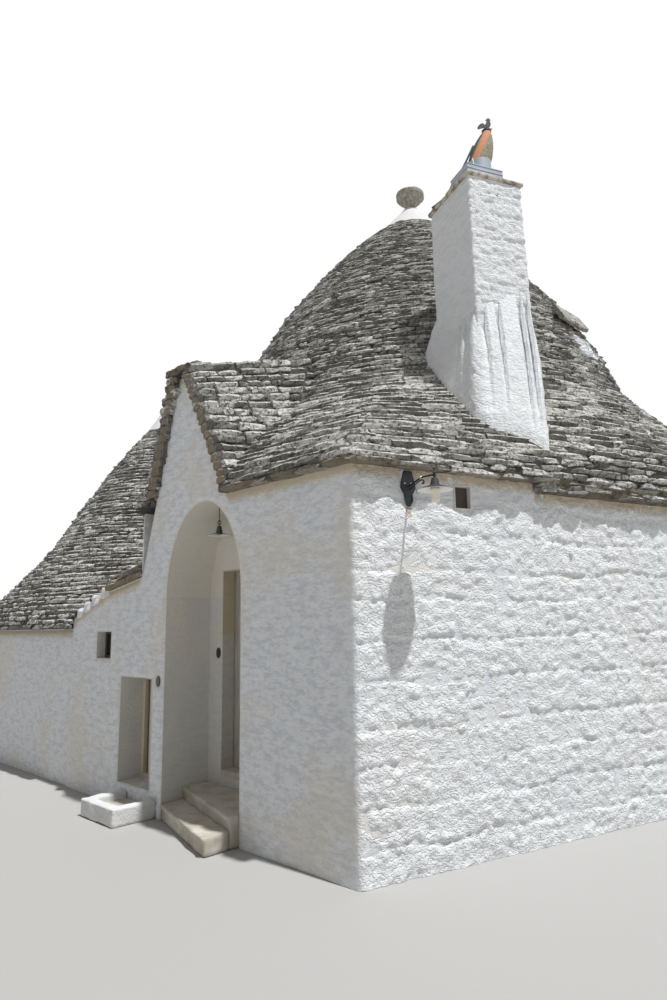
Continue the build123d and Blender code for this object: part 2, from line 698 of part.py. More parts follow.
def side_wall():
    # Side wall in four pieces round the vent: below it, before it, behind it, and its pierced surround.
    # The vent panel stands in the duct, set back from the face.
    z0, z1 = VENT_Z
    plane = side_plane(VENT_S, -VENT_SETBACK - VENT_T, (z0 + z1) / 2)
    opening = plane * Rectangle(VENT_W, z1 - z0)
    duct = extrude(opening, amount=VENT_SETBACK + VENT_T + PAST) + extrude(opening, amount=-WALL_T)
    panel = extrude(opening, amount=VENT_T)
    whole = wall(0, ROOM, 0.0, WALL_TOP)
    foot = z0 - VENT_JAMB
    near = VENT_S - VENT_W / 2 - VENT_JAMB
    far = VENT_S + VENT_W / 2 + VENT_JAMB
    deep = -2 * WALL_T
    return {
        "side_wall": wall(0, ROOM, 0.0, foot),
        "side_wall_near": whole & side_strip(-FAR, near, deep, PAST, foot, WALL_TOP),
        "vent_surround": (whole & side_strip(near, far, deep, PAST, foot, WALL_TOP)) - duct,
        "side_wall_far": whole & side_strip(far, FAR, deep, PAST, foot, WALL_TOP),
        "vent_panel": panel,
    }


def lamp_shade(rim_z, radius, height, bell_r, bell_h, x, y):
    # Thin dished shade, open below, with a bell on top
    crown = rim_z + height
    top = crown + bell_h
    neck = bell_r * 0.6
    t = SHEET_T
    outer = [(radius, rim_z), (bell_r, crown), (neck, top)]
    inner = [(radius - 2 * t, rim_z - PAST / 100), (bell_r - t, crown - t), (neck - t, top - t)]
    return revolved(outer, x, y) - revolved(inner, x, y)


def wall_lamp():
    z0, z1 = LAMP_PLATE_Z
    high = z1 - z0
    w = LAMP_PLATE_W / 2
    shape = [(0.25 * w, 0), (0.5 * w, 0.3 * high), (w, 0.5 * high), (0.9 * w, 0.68 * high), (0.5 * w, high)]
    shape += [(-a, b) for a, b in reversed(shape)]
    # The plate's sketch runs along the wall, its height across it
    upright = Plane(origin=on_side(LAMP_S, 0, z0), x_dir=SIDE, z_dir=SIDE_OUT)
    plate = extrude(upright * make_face(Polyline(*shape, close=True)), amount=LAMP_PLATE_T)
    end = on_side(LAMP_S, LAMP_REACH, LAMP_ARM_END_Z)
    foot = on_side(LAMP_S, LAMP_PLATE_T, LAMP_ARM_FOOT_Z)
    path = FilletPolyline(foot, on_side(LAMP_S, LAMP_KNOT_OUT, LAMP_KNOT_Z), end, radius=LAMP_ARM_BEND)
    bell_top = LAMP_RIM_Z + LAMP_SHADE_H + LAMP_BELL_H
    stem = LAMP_STEM_D / 2
    ball = LAMP_BALL_D / 2
    profile = [(stem, bell_top)]
    for z in LAMP_RING_Z:
        profile += [(stem, z - stem), (LAMP_RING_D / 2, z), (stem, z + stem)]
    profile += [(stem / 2, LAMP_BALL_Z - ball), (ball, LAMP_BALL_Z), (stem / 2, LAMP_BALL_Z + ball)]
    arm = sweep(Plane(origin=foot, z_dir=path % 0) * Circle(LAMP_ARM_D / 2), path=path)
    arm += revolved(profile, end.X, end.Y)
    shade = lamp_shade(LAMP_RIM_Z, LAMP_SHADE_R, LAMP_SHADE_H, LAMP_BELL_R, LAMP_BELL_H, end.X, end.Y)
    low = BULB_BOTTOM_Z
    neck = LAMP_BELL_R * 0.5 - SHEET_T
    tube = [(BULB_R * 0.75, low), (BULB_R, low + BULB_ROUND), (BULB_R, LAMP_RIM_Z)]
    tube += [(neck, LAMP_RIM_Z + LAMP_SHADE_H), (neck, bell_top - SHEET_T)]
    return {
        "lamp_plate": plate,
        "lamp_arm": arm - plate,
        "lamp_shade": shade,
        "lamp_bulb": revolved(tube, end.X, end.Y),
    }


def pendant():
    x = PENDANT_X
    y = PENDANT_Y
    top = PENDANT_RIM_Z + PENDANT_SHADE_H + PENDANT_BELL_H
    rod = post(PENDANT_ROD_D / 2, x, y, top, NICHE_SPRING_Z + NICHE_RISE) & niche()
    return {
        "pendant_rod": rod,
        "pendant_shade": lamp_shade(
            PENDANT_RIM_Z, PENDANT_SHADE_R, PENDANT_SHADE_H, PENDANT_BELL_R, PENDANT_BELL_H, x, y
        ),
    }


def number_plate(place, y):
    plane = Plane(origin=(place[0], y, place[1]), x_dir=(1, 0, 0), z_dir=(0, -1, 0))
    return extrude(plane * Ellipse(PLATE_W / 2, PLATE_H / 2), amount=PLATE_T)


parts = {}
parts.update(portal())
parts.update(entrance())
parts.update(side_wall())
parts["back_wall"] = wall(1, ROOM, 0.0, WALL_TOP)
parts["left_wall"] = wall(2, ROOM, 0.0, WALL_TOP)
parts["inner_wall"] = inner_wall()
parts.update(eave_courses())
parts.update(main_roof())
parts.update(annex_walls())
parts.update(annex_roof())
parts.update(light_well())
parts.update(chimney())
parts.update(cowl_tiles())
parts.update(weathercock())
parts.update(wall_lamp())
parts.update(pendant())
parts["niche_plate"] = number_plate(NICHE_PLATE, NICHE_DEPTH)
parts["wall_plate"] = number_plate(WALL_PLATE, 0.0)

os.makedirs("parts", exist_ok=True)
for name, shape in parts.items():
    export_step(shape, f"parts/{name}.step")
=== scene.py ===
# %% [markdown]
# A trullo is a small stone house from the south of Italy. Its walls are thick limewashed rubble, and its
# roof is a cone of flat limestone slabs that are laid dry, ring over ring, each a little further in than
# the one below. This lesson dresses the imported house: the walls get their coat of limewash, the roof gets
# its slabs, and the small things get their metal, tile and timber.

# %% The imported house
import json
import math

import bmesh
import bpy
import numpy as np
from mathutils import Matrix, Vector
from mathutils.bvhtree import BVHTree


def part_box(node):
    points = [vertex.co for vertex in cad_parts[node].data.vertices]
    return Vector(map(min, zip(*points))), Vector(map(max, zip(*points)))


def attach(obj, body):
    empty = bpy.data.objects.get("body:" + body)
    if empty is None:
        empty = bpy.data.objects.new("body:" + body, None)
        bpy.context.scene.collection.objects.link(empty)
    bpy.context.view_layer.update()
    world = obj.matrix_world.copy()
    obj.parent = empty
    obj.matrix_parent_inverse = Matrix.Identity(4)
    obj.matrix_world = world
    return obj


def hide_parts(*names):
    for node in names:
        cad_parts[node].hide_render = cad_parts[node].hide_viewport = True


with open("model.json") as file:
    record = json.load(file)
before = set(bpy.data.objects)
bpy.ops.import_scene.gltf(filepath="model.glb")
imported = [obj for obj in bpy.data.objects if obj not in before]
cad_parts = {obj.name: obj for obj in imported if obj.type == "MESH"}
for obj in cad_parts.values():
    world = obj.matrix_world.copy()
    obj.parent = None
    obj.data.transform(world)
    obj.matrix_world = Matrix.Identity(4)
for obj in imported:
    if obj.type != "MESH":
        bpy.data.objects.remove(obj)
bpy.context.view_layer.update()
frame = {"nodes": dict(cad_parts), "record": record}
HOUSE = "house"
VANE = "vane"

# %% [markdown]
# The camera stands in the street at eye height, looks up a little, and sees the entrance corner. Its place
# comes from the perspective of the walls. The lens is given for a 36 mm sensor along the tall side of the
# picture.

# %% Camera
CAMERA_PLACE = Vector((5.349, -3.653, 1.800))
CAMERA_HEADING = 134.4
CAMERA_PITCH = 10.54
CAMERA_ROLL = -1.05
CAMERA_LENS = 24.01

heading = math.radians(CAMERA_HEADING)
level_ahead = Vector((math.cos(heading), math.sin(heading), 0))
level_right = Vector((math.sin(heading), -math.cos(heading), 0))
tip = math.radians(CAMERA_PITCH)
lean = math.radians(CAMERA_ROLL)
ahead = level_ahead * math.cos(tip) + Vector((0, 0, math.sin(tip)))
over = level_right.cross(ahead)
right = level_right * math.cos(lean) + over * math.sin(lean)
over = right.cross(ahead)
camera = bpy.data.objects.new("camera", bpy.data.cameras.new("camera"))
camera.data.sensor_fit = "VERTICAL"
camera.data.sensor_height = 36.0
camera.data.lens = CAMERA_LENS
camera.matrix_world = Matrix.Translation(CAMERA_PLACE) @ Matrix((right, over, -ahead)).transposed().to_4x4()
bpy.context.scene.collection.objects.link(camera)
bpy.context.scene.camera = camera
print("camera looks along", [round(v, 3) for v in ahead])

# %% [markdown]
# Shader maths reads best as sums. One small class wraps a socket, so that 1 - mask makes its own Math node,
# and one method makes every other kind of node. The same class serves Geometry Nodes trees later on.


# %% Sums on sockets
class Signal:
    def __init__(self, tree, socket=None):
        self.tree = tree
        self.socket = socket

    def node(self, kind, settings=None, inputs=None, output=0):
        made = self.tree.nodes.new(kind)
        for name, value in (settings or {}).items():
            setattr(made, name, value)
        for name, value in (inputs or {}).items():
            if isinstance(value, Signal):
                self.tree.links.new(value.socket, made.inputs[name])
            else:
                made.inputs[name].default_value = value
        return Signal(self.tree, made.outputs[output])

    def sum(self, operation, first, second):
        return self.node("ShaderNodeMath", {"operation": operation}, {0: first, 1: second})

    def __add__(self, other):
        return self.sum("ADD", self, other)

    def __radd__(self, other):
        return self.sum("ADD", other, self)

    def __sub__(self, other):
        return self.sum("SUBTRACT", self, other)

    def __rsub__(self, other):
        return self.sum("SUBTRACT", other, self)

    def __mul__(self, other):
        return self.sum("MULTIPLY", self, other)

    def between(self, low, high):
        # 0 below low, 1 above high, smooth from one to the other
        settings = {"interpolation_type": "SMOOTHSTEP"}
        return self.node("ShaderNodeMapRange", settings, {"Value": self, 1: low, 2: high})

    def tint(self, first, second):
        # Colour that goes from the first to the second as this mask goes from 0 to 1
        return self.node("ShaderNodeMix", {"data_type": "RGBA"}, {0: self, 6: first, 7: second}, 2)


def shade(red, green, blue):
    return (red, green, blue, 1.0)


print("socket sums ready")

# %% [markdown]
# Light is plain. The sun stands where the real one stood, high on the right of the house, so the eaves and
# the chimney throw their shadows the right way. The sky is an even white that fills the shade. The pale
# floor only catches the shadow.

# %% Light and floor
SUN_TRAVEL = Vector((-0.359, -0.023, -0.933))
SUN_STRENGTH = 3.85
SUN_WIDTH = math.radians(1.4)
SKY_STRENGTH = 0.25
FLOOR_HALF = 60.0
FLOOR_DROP = 0.002
FLOOR_NEAR = shade(0.42, 0.415, 0.405)
FLOOR_FAR = shade(0.88, 0.88, 0.88)
FLOOR_FADE = (6.0, 26.0)

sun = bpy.data.objects.new("sun", bpy.data.lights.new("sun", "SUN"))
sun.data.energy = SUN_STRENGTH
sun.data.angle = SUN_WIDTH
sun.rotation_euler = SUN_TRAVEL.to_track_quat("-Z", "Y").to_euler()
bpy.context.scene.collection.objects.link(sun)

world = bpy.data.worlds.new("studio")
bpy.context.scene.world = world
world.use_nodes = True
sky = Signal(world.node_tree)
path = sky.node("ShaderNodeLightPath", output="Is Camera Ray")
glossy = sky.node("ShaderNodeLightPath", output="Is Glossy Ray")
seen = sky.sum("MAXIMUM", path, glossy)
backdrop = world.node_tree.nodes["Background"]
backdrop.inputs["Color"].default_value = shade(1.0, 1.0, 1.0)
world.node_tree.links.new((seen * (1.0 - SKY_STRENGTH) + SKY_STRENGTH).socket, backdrop.inputs["Strength"])
bpy.context.scene.view_settings.view_transform = "Standard"


def placed(name, mesh, finishes=()):
    piece = bpy.data.objects.new(name, mesh)
    bpy.context.scene.collection.objects.link(piece)
    for finish in finishes:
        mesh.materials.append(finish)
    return piece


def plain_mesh(name, points, faces, finishes=()):
    mesh = bpy.data.meshes.new(name)
    mesh.from_pydata([tuple(p) for p in points], [], [tuple(f) for f in faces])
    mesh.update()
    return placed(name, mesh, finishes)


def turn_faces_out(mesh, weld=0.0):
    cage = bmesh.new()
    cage.from_mesh(mesh)
    if weld:
        bmesh.ops.remove_doubles(cage, verts=cage.verts, dist=weld)
    bmesh.ops.recalc_face_normals(cage, faces=cage.faces)
    cage.to_mesh(mesh)
    cage.free()


def store(mesh, label, values, domain="POINT"):
    # One number for each vertex or face, which the finishes and the slab layer read
    numbers = np.ascontiguousarray(values, np.float32)
    mesh.attributes.new(label, "FLOAT", domain).data.foreach_set("value", numbers)


def new_finish(name):
    # The finish, its shader, and the spot on the object that is shaded
    finish = bpy.data.materials.new(name)
    finish.use_nodes = True
    shader = finish.node_tree.nodes["Principled BSDF"]
    return finish, shader, Signal(finish.node_tree).node("ShaderNodeTexCoord", output="Object")


def connect(shader, colour=None, rough=None, bump=None, depth=0.004, metallic=0.0):
    tree = shader.id_data
    shader.inputs["Metallic"].default_value = metallic
    for name, value in (("Base Color", colour), ("Roughness", rough)):
        if isinstance(value, Signal):
            tree.links.new(value.socket, shader.inputs[name])
        elif value is not None:
            shader.inputs[name].default_value = value
    if bump is not None:
        relief = bump.node("ShaderNodeBump", None, {"Strength": 1.0, "Distance": depth, "Height": bump})
        tree.links.new(relief.socket, shader.inputs["Normal"])


corners = [(x * FLOOR_HALF, y * FLOOR_HALF, -FLOOR_DROP) for x, y in ((-1, -1), (1, -1), (1, 1), (-1, 1))]
floor_finish, floor_shader, place = new_finish("floor_pale")
reach = place.node("ShaderNodeVectorMath", {"operation": "LENGTH"}, {0: place}, "Value")
connect(floor_shader, reach.between(*FLOOR_FADE).tint(FLOOR_NEAR, FLOOR_FAR), 0.9)
floor = plain_mesh("studio_floor", corners, [(0, 1, 2, 3)], [floor_finish])
print("sun", SUN_STRENGTH, "sky", SKY_STRENGTH)

# %% [markdown]
# Limewash is brushed on in many thin coats. It stays matte and white, goes grey where it is thin or damp, and
# cream where rain has washed it down from the roof stones. The blue in its white and in its grey is painted
# skylight. The coat pieces carry a number called stain, which is 1 right under the stones and fades out
# below, so the tan band follows any eave.

# %% Finishes of lime and stone
LIME_BUMP = 0.014
STAIN_TAN = shade(0.56, 0.46, 0.32)


def noise(place, scale, detail=3.0, stretch=None, rough=0.55):
    if stretch:
        place = place.node("ShaderNodeMapping", None, {"Vector": place, "Scale": stretch})
    inputs = {"Vector": place, "Scale": scale, "Detail": detail, "Roughness": rough}
    return place.node("ShaderNodeTexNoise", None, inputs)


def carried(place, name):
    # A number that the mesh itself carries
    return place.node("ShaderNodeAttribute", {"attribute_name": name}, output="Fac")


def height_of(place):
    return place.node("ShaderNodeSeparateXYZ", None, {0: place}, 2)


def limewash(name, white, cool, warm, paint_line=None):
    finish, shader, place = new_finish(name)
    stain, rough = carried(place, "stain"), carried(place, "rough")
    clouds = noise(place, 1.1, 3.0)
    strokes = noise(place, 7.5, 5.0, (1.0, 1.0, 2.6), 0.65)
    flecks = noise(place, 20.0, 4.0, (1.0, 1.0, 1.8))
    # Grey strokes, mostly on the smooth walls; in the wall limewash their blue is painted skylight
    colour = (strokes.between(0.44, 0.64) * (0.75 - rough * 0.70)).tint(white, cool)
    colour = ((clouds + strokes * 0.5).between(0.72, 0.90) * (0.6 - rough * 0.55)).tint(colour, warm)
    colour = (flecks.between(0.50, 0.66) * 0.5 * (1.0 - rough)).tint(colour, cool)
    if paint_line is not None:
        height = height_of(place) + flecks * 0.02
        colour = (height.between(paint_line + 0.004, paint_line + 0.012) * 0.55).tint(colour, warm)
    wet = (stain + flecks * 0.4 - 0.2).between(0.20, 0.80)
    colour = (wet * 0.85).tint(colour, STAIN_TAN)
    lumps = noise(place, 15.0, 2.0, (1.0, 1.0, 1.5))
    creases = lumps.sum("ABSOLUTE", lumps - 0.5, 0.0).between(0.0, 0.09)
    grit = noise(place, 48.0, 3.0)
    connect(shader, colour, 0.92, (creases * 0.35 + grit * 0.8) * (rough * 0.75 + 0.25), LIME_BUMP)
    return finish


def roof_stone(name, light, middle, dark, brown):
    # Each slab carries its tone and its brown, and each face how far it looks up or down the street
    finish, shader, place = new_finish(name)
    tone, tan, up, street = [carried(place, label) for label in ("tone", "brown", "up", "street")]
    patches = noise(place, 0.9, 3.0)
    spots = noise(place, 30.0, 4.0, None, 0.7)
    pits = noise(place, 75.0, 3.0)
    streaks = noise(place, 16.0, 4.0, (1.0, 1.0, 3.0))
    colour = (tone + patches * 0.7 - 0.35).between(0.25, 0.95).tint(middle, light)
    colour = (streaks.between(0.45, 0.62) * 0.6).tint(colour, middle)
    colour = (spots.between(0.49, 0.62) * 0.85).tint(colour, dark)
    # Faces that look up take the light colour: a painted highlight
    colour = (up.between(0.25, 0.8) * spots.between(0.62, 0.46) * 0.7).tint(colour, light)
    colour = (tan * street.between(0.2, 0.6) * (0.5 + pits * 0.8)).tint(colour, brown)
    connect(shader, colour, 0.93, spots + pits * 0.6, 0.012)
    return finish


def plain_stone(name, light, dark, scale, depth):
    finish, shader, place = new_finish(name)
    broad = noise(place, scale, 4.0)
    fine = noise(place, scale * 8.0, 4.0, None, 0.65)
    colour = broad.between(0.38, 0.66).tint(light, dark)
    colour = (fine.between(0.56, 0.7) * 0.55).tint(colour, dark)
    connect(shader, colour, 0.88, broad + fine * 0.6, depth)
    return finish


# The blue in WHITE and COOL is painted skylight
WHITE = shade(0.79, 0.81, 0.825)
COOL = shade(0.56, 0.60, 0.67)
WARM = shade(0.74, 0.69, 0.59)
ARCH_SPRING = 2.10
JAMB_LINE = 1.72
CAP_COLOURS = shade(0.70, 0.705, 0.70), shade(0.62, 0.63, 0.64), shade(0.64, 0.62, 0.57)
NICHE_COLOURS = shade(0.66, 0.65, 0.62), shade(0.60, 0.59, 0.57), shade(0.78, 0.73, 0.63)
JAMB_COLOURS = shade(0.56, 0.55, 0.51), shade(0.50, 0.49, 0.46), shade(0.54, 0.45, 0.28)
SLAB_COLOURS = (shade(0.68, 0.67, 0.63), shade(0.155, 0.15, 0.135), shade(0.03, 0.027, 0.023),
                shade(0.23, 0.185, 0.125))
# Slot, name, light and dark colour, scale of the patches and depth of the relief
STONES = (
    # The bed under the slabs is near black: painted shade for the gaps between them
    ("roof_stone", "roof_bed", (0.050, 0.046, 0.040), (0.02, 0.018, 0.016), 6.0, 0.004),
    ("step_stone", "step_stone", (0.60, 0.575, 0.52), (0.46, 0.42, 0.34), 5.0, 0.003),
    ("chimney_stone", "chimney_stone", (0.58, 0.53, 0.45), (0.20, 0.16, 0.11), 16.0, 0.004),
    ("verge_stone", "verge_stone", (0.20, 0.17, 0.13), (0.045, 0.038, 0.03), 14.0, 0.010),
    ("pinnacle_stone", "pinnacle_stone", (0.37, 0.345, 0.29), (0.22, 0.205, 0.17), 26.0, 0.008),
)
finishes = {
    "limewash": limewash("limewash", WHITE, COOL, WARM),
    "cap_limewash": limewash("cap_limewash", *CAP_COLOURS),
}
for slot, name, light, dark, scale, depth in STONES:
    finishes[slot] = plain_stone(name, shade(*light), shade(*dark), scale, depth)
slab_finish = roof_stone("roof_slabs", *SLAB_COLOURS)
eave_bed = plain_stone("eave_bed", shade(0.17, 0.14, 0.10), shade(0.06, 0.05, 0.04), 12.0, 0.004)
niche_lime = limewash("niche_limewash", *NICHE_COLOURS, paint_line=ARCH_SPRING)
jamb_stone = limewash("jamb_stone", *JAMB_COLOURS, paint_line=JAMB_LINE)
print(len(finishes), "finishes of lime and stone")

# %% [markdown]
# The small things are metal, timber, tile and glass. Each finish shows what the real one shows: brush marks
# in the black paint, grain along the boards, lichen on the old roof tiles.


# %% Finishes of metal, timber, tile and glass
def painted(name, base, worn, rough=0.4, metallic=0.0):
    finish, shader, place = new_finish(name)
    wear = noise(place, 60.0, 4.0)
    colour = (wear.between(0.58, 0.72) * 0.5).tint(base, worn)
    connect(shader, colour, wear * 0.3 + rough, noise(place, 220.0, 2.0), 0.0006, metallic)
    return finish


def boards(name, base, dark):
    finish, shader, place = new_finish(name)
    grain = noise(place, 9.0, 5.0, (6.0, 6.0, 0.5))
    colour = grain.between(0.35, 0.7).tint(base, dark)
    connect(shader, colour, 0.55, grain, 0.002)
    return finish


def old_tile(name):
    # One clean orange strip along the leaning edge, and lichen and dark streaks over the rest. Just outside
    # the strip, at the tile's edge, the flank is painted near black as its shade.
    finish, shader, place = new_finish(name)
    lichen = noise(place, 60.0, 4.0)
    streaks = noise(place, 40.0, 4.0, (1.6, 1.6, 0.35))
    dot = {"operation": "DOT_PRODUCT"}
    across = place.node("ShaderNodeVectorMath", dot, {0: place, 1: TILE_EDGE}, "Value")
    across = across + TILE_EDGE_START + streaks * 0.03
    colour = lichen.between(0.40, 0.62).tint(shade(0.23, 0.22, 0.15), shade(0.33, 0.32, 0.22))
    colour = (streaks.between(0.52, 0.62) * 0.8).tint(colour, shade(0.16, 0.09, 0.06))
    strip = across.between(0.040, 0.055) * (1.0 - across.between(0.105, 0.125))
    colour = strip.tint(colour, shade(0.60, 0.24, 0.12))
    # Painted shade: the flank just outside the strip goes near black
    colour = (1.0 - across.between(0.025, 0.040)).tint(colour, shade(0.06, 0.045, 0.035))
    connect(shader, colour, 0.85, lichen + streaks, 0.004)
    return finish


def dark_pane(name):
    finish, shader, place = new_finish(name)
    dust = noise(place, 8.0, 3.0)
    connect(shader, dust.between(0.4, 0.8).tint(shade(0.02, 0.022, 0.026), shade(0.06, 0.06, 0.062)), 0.12)
    return finish


def frosted_bulb(name):
    finish, shader, place = new_finish(name)
    base_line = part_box("lamp_bulb")[0].z + BULB_SOCKET
    socket_mask = height_of(place).between(base_line, base_line + 0.004)
    milk = noise(place, 30.0, 2.0).between(0.3, 0.7).tint(shade(0.86, 0.80, 0.66), shade(0.80, 0.72, 0.56))
    connect(shader, socket_mask.tint(milk, shade(0.30, 0.27, 0.22)), 0.35)
    return finish


TILE_EDGE = (0.714, 0.70, -0.438)
TILE_EDGE_START = 0.137
BULB_SOCKET = 0.118
# Slot, fresh and worn colour, roughness and metal
PAINTS = (
    ("dark_iron", (0.010, 0.011, 0.016), (0.035, 0.035, 0.04), 0.34, 0.0),
    ("green_enamel", (0.028, 0.034, 0.030), (0.08, 0.08, 0.07), 0.25, 0.0),
    # Zinc is grey; the blue in this one is painted reflection of the sky
    ("zinc_sheet", (0.36, 0.40, 0.45), (0.55, 0.57, 0.60), 0.45, 0.3),
    ("cream_paint", (0.66, 0.58, 0.43), (0.42, 0.34, 0.22), 0.5, 0.0),
    ("vent_brown", (0.075, 0.055, 0.045), (0.13, 0.10, 0.08), 0.6, 0.0),
    ("plate_glaze", (0.035, 0.028, 0.03), (0.08, 0.07, 0.07), 0.2, 0.0),
)
EAVES = ["front_eave", "side_eave", "back_eave", "left_eave", "inner_eave"]
for slot, base, worn, rough, metallic in PAINTS:
    finishes[slot] = painted(slot, shade(*base), shade(*worn), rough, metallic)
finishes["door_wood"] = boards("door_wood", shade(0.50, 0.48, 0.43), shade(0.36, 0.33, 0.28))
finishes["window_pane"] = dark_pane("window_pane")
finishes["roof_tile"] = old_tile("roof_tile")
finishes["bulb"] = frosted_bulb("bulb")
shade_inside = painted("shade_inside", shade(0.78, 0.77, 0.74), shade(0.55, 0.53, 0.49), 0.35)

for part in frame["record"]["subparts"]:
    node = frame["nodes"][part["node"]]
    node.data.materials.clear()
    node.data.materials.append(finishes[part["material_slot"]])
for name in ("gable_wall", "portal_pier", "niche_back_wall", "front_wall", "annex_wall"):
    frame["nodes"][name].data.materials[0] = niche_lime
for name in EAVES:
    frame["nodes"][name].data.materials[0] = eave_bed
print(len(frame["nodes"]), "nodes finished")

# %% [markdown]
# Everything that is laid on the house has to sit on its real surface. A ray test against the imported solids
# says where that surface is, so no size of the roof is written down a second time.


# %% Feeling for the surface
def surface_of(names):
    points, faces, owners = [], [], []
    for name in names:
        mesh = frame["nodes"][name].data
        first = len(points)
        points += [v.co.copy() for v in mesh.vertices]
        for polygon in mesh.polygons:
            faces.append([first + i for i in polygon.vertices])
            owners.append(name)
    return BVHTree.FromPolygons(points, faces), owners


def finish_piece(piece, body=HOUSE, smooth=False):
    piece.data.polygons.foreach_set("use_smooth", [smooth] * len(piece.data.polygons))
    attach(piece, body)
    return piece


def middle_of(node):
    low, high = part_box(node)
    return (low + high) / 2


DOWN = Vector((0, 0, -1))
MAIN_AXIS = middle_of("main_pinnacle").xy
ANNEX_AXIS = middle_of("annex_pinnacle").xy
MAIN_ROOF = ["lower_roof", "main_cone"] + EAVES
MAIN_BLOCKERS = ["gable_wall", "front_wall", "side_wall_far", "niche_back_wall", "gable_roof"]
ANNEX_ROOF = ["annex_lower_roof", "annex_cone"]
print("main axis", [round(v, 3) for v in MAIN_AXIS], "annex axis", [round(v, 3) for v in ANNEX_AXIS])

# %% [markdown]
# A roof slab is a flat piece of split limestone. Only its broken front edge shows. A few different slabs are
# enough, because each one is also stretched, tilted and toned by chance. The slab is built as a strip of
# cross-sections from left to right, so it is closed and has few faces.

# %% Slab shapes
SHAPE_COUNT = 8
STATIONS = (-0.5, -0.2, 0.14, 0.5)
PROFILE = ((1.0, 0.0), (0.10, 0.0), (0.0, 0.22), (0.015, 0.72), (0.12, 1.0), (1.0, 1.0))
# How far chance pushes, lifts and shifts a corner of the front, and how far the ends lie back
FRONT_PUSH = 0.045
FRONT_LIFT = 0.05
FRONT_SHIFT = 0.02
ENDS_BACK = 0.10
chance = np.random.default_rng(7)


def slab_shape(name):
    points, faces = [], []
    for k, x in enumerate(STATIONS):
        end = k in (0, len(STATIONS) - 1)
        for j, (y, z) in enumerate(PROFILE):
            front = 1 <= j <= 4
            y += (chance.normal(0, FRONT_PUSH) + (ENDS_BACK if end else 0.0)) if front else 0.0
            z += chance.normal(0, FRONT_LIFT) if front else 0.0
            shift = chance.normal(0, FRONT_SHIFT) if front and not end else 0.0
            points.append((x + shift, y, z))
    n = len(PROFILE)
    for k in range(len(STATIONS) - 1):
        for j in range(n):
            a = k * n + j
            b = k * n + (j + 1) % n
            faces.append((a, b, b + n, a + n))
    faces.append(tuple(range(n - 1, -1, -1)))
    faces.append(tuple(range(len(points) - n, len(points))))
    shape = plain_mesh(name, points, faces)
    turn_faces_out(shape.data)
    bpy.context.scene.collection.objects.unlink(shape)
    return shape


slab_box = bpy.data.collections.new("slab_shapes")
for k in range(SHAPE_COUNT):
    slab_box.objects.link(slab_shape(f"slab_shape_{k}"))

# %% [markdown]
# Geometry Nodes lays the slabs. Each point of a small point mesh says where one slab goes and carries its
# turn, size and tone. The tree picks a shape for it, sets it down, makes it real, and then breaks the edges
# with a little noise, so no two slabs stay alike.


# %% The slab layer
def slab_layer():
    tree = bpy.data.node_groups.new("slab_layer", "GeometryNodeTree")
    face = tree.interface
    face.new_socket("Geometry", in_out="INPUT", socket_type="NodeSocketGeometry")
    for name, kind in (
        ("Shapes", "NodeSocketCollection"),
        ("Finish", "NodeSocketMaterial"),
        ("Break depth", "NodeSocketFloat"),
        ("Break size", "NodeSocketFloat"),
        ("Seed", "NodeSocketInt"),
    ):
        face.new_socket(name, in_out="INPUT", socket_type=kind)
    face.new_socket("Geometry", in_out="OUTPUT", socket_type="NodeSocketGeometry")
    start = Signal(tree)
    entry = tree.nodes.new("NodeGroupInput")

    def given(name):
        return Signal(tree, entry.outputs[name])

    def stored(name, kind):
        return start.node("GeometryNodeInputNamedAttribute", {"data_type": kind}, {"Name": name})

    shapes = start.node(
        "GeometryNodeCollectionInfo", None, {"Collection": given("Shapes"), "Separate Children": True}
    )
    pick = start.node(
        "FunctionNodeRandomValue", {"data_type": "INT"}, {4: 0, 5: SHAPE_COUNT - 1, "Seed": given("Seed")}, 2
    )
    laid = start.node(
        "GeometryNodeInstanceOnPoints",
        None,
        {
            "Points": given("Geometry"),
            "Instance": shapes,
            "Pick Instance": True,
            "Instance Index": pick,
            "Rotation": stored("turn", "FLOAT_VECTOR"),
            "Scale": stored("size", "FLOAT_VECTOR"),
        },
    )
    real = start.node("GeometryNodeRealizeInstances", None, {"Geometry": laid})
    place = start.node("GeometryNodeInputPosition")
    scale = start.node("ShaderNodeMath", {"operation": "DIVIDE"}, {0: 1.0, 1: given("Break size")})
    cloud = start.node("ShaderNodeTexNoise", None, {"Vector": place, "Scale": scale, "Detail": 1.0}, "Color")
    centred = start.node("ShaderNodeVectorMath", {"operation": "SUBTRACT"}, {0: cloud, 1: (0.5, 0.5, 0.5)})
    push = start.node(
        "ShaderNodeVectorMath", {"operation": "SCALE"}, {0: centred, "Scale": given("Break depth")}
    )
    broken = start.node("GeometryNodeSetPosition", None, {"Geometry": real, "Offset": push})
    dressed = start.node("GeometryNodeSetMaterial", None, {"Geometry": broken, "Material": given("Finish")})
    leave = tree.nodes.new("NodeGroupOutput")
    tree.links.new(dressed.socket, leave.inputs["Geometry"])
    return tree


SLAB_LAYER = slab_layer()
BREAK_SIZE = 0.09


def set_input(modifier, name, value):
    for item in modifier.node_group.interface.items_tree:
        if item.item_type == "SOCKET" and item.in_out == "INPUT" and item.name == name:
            modifier[item.identifier] = value


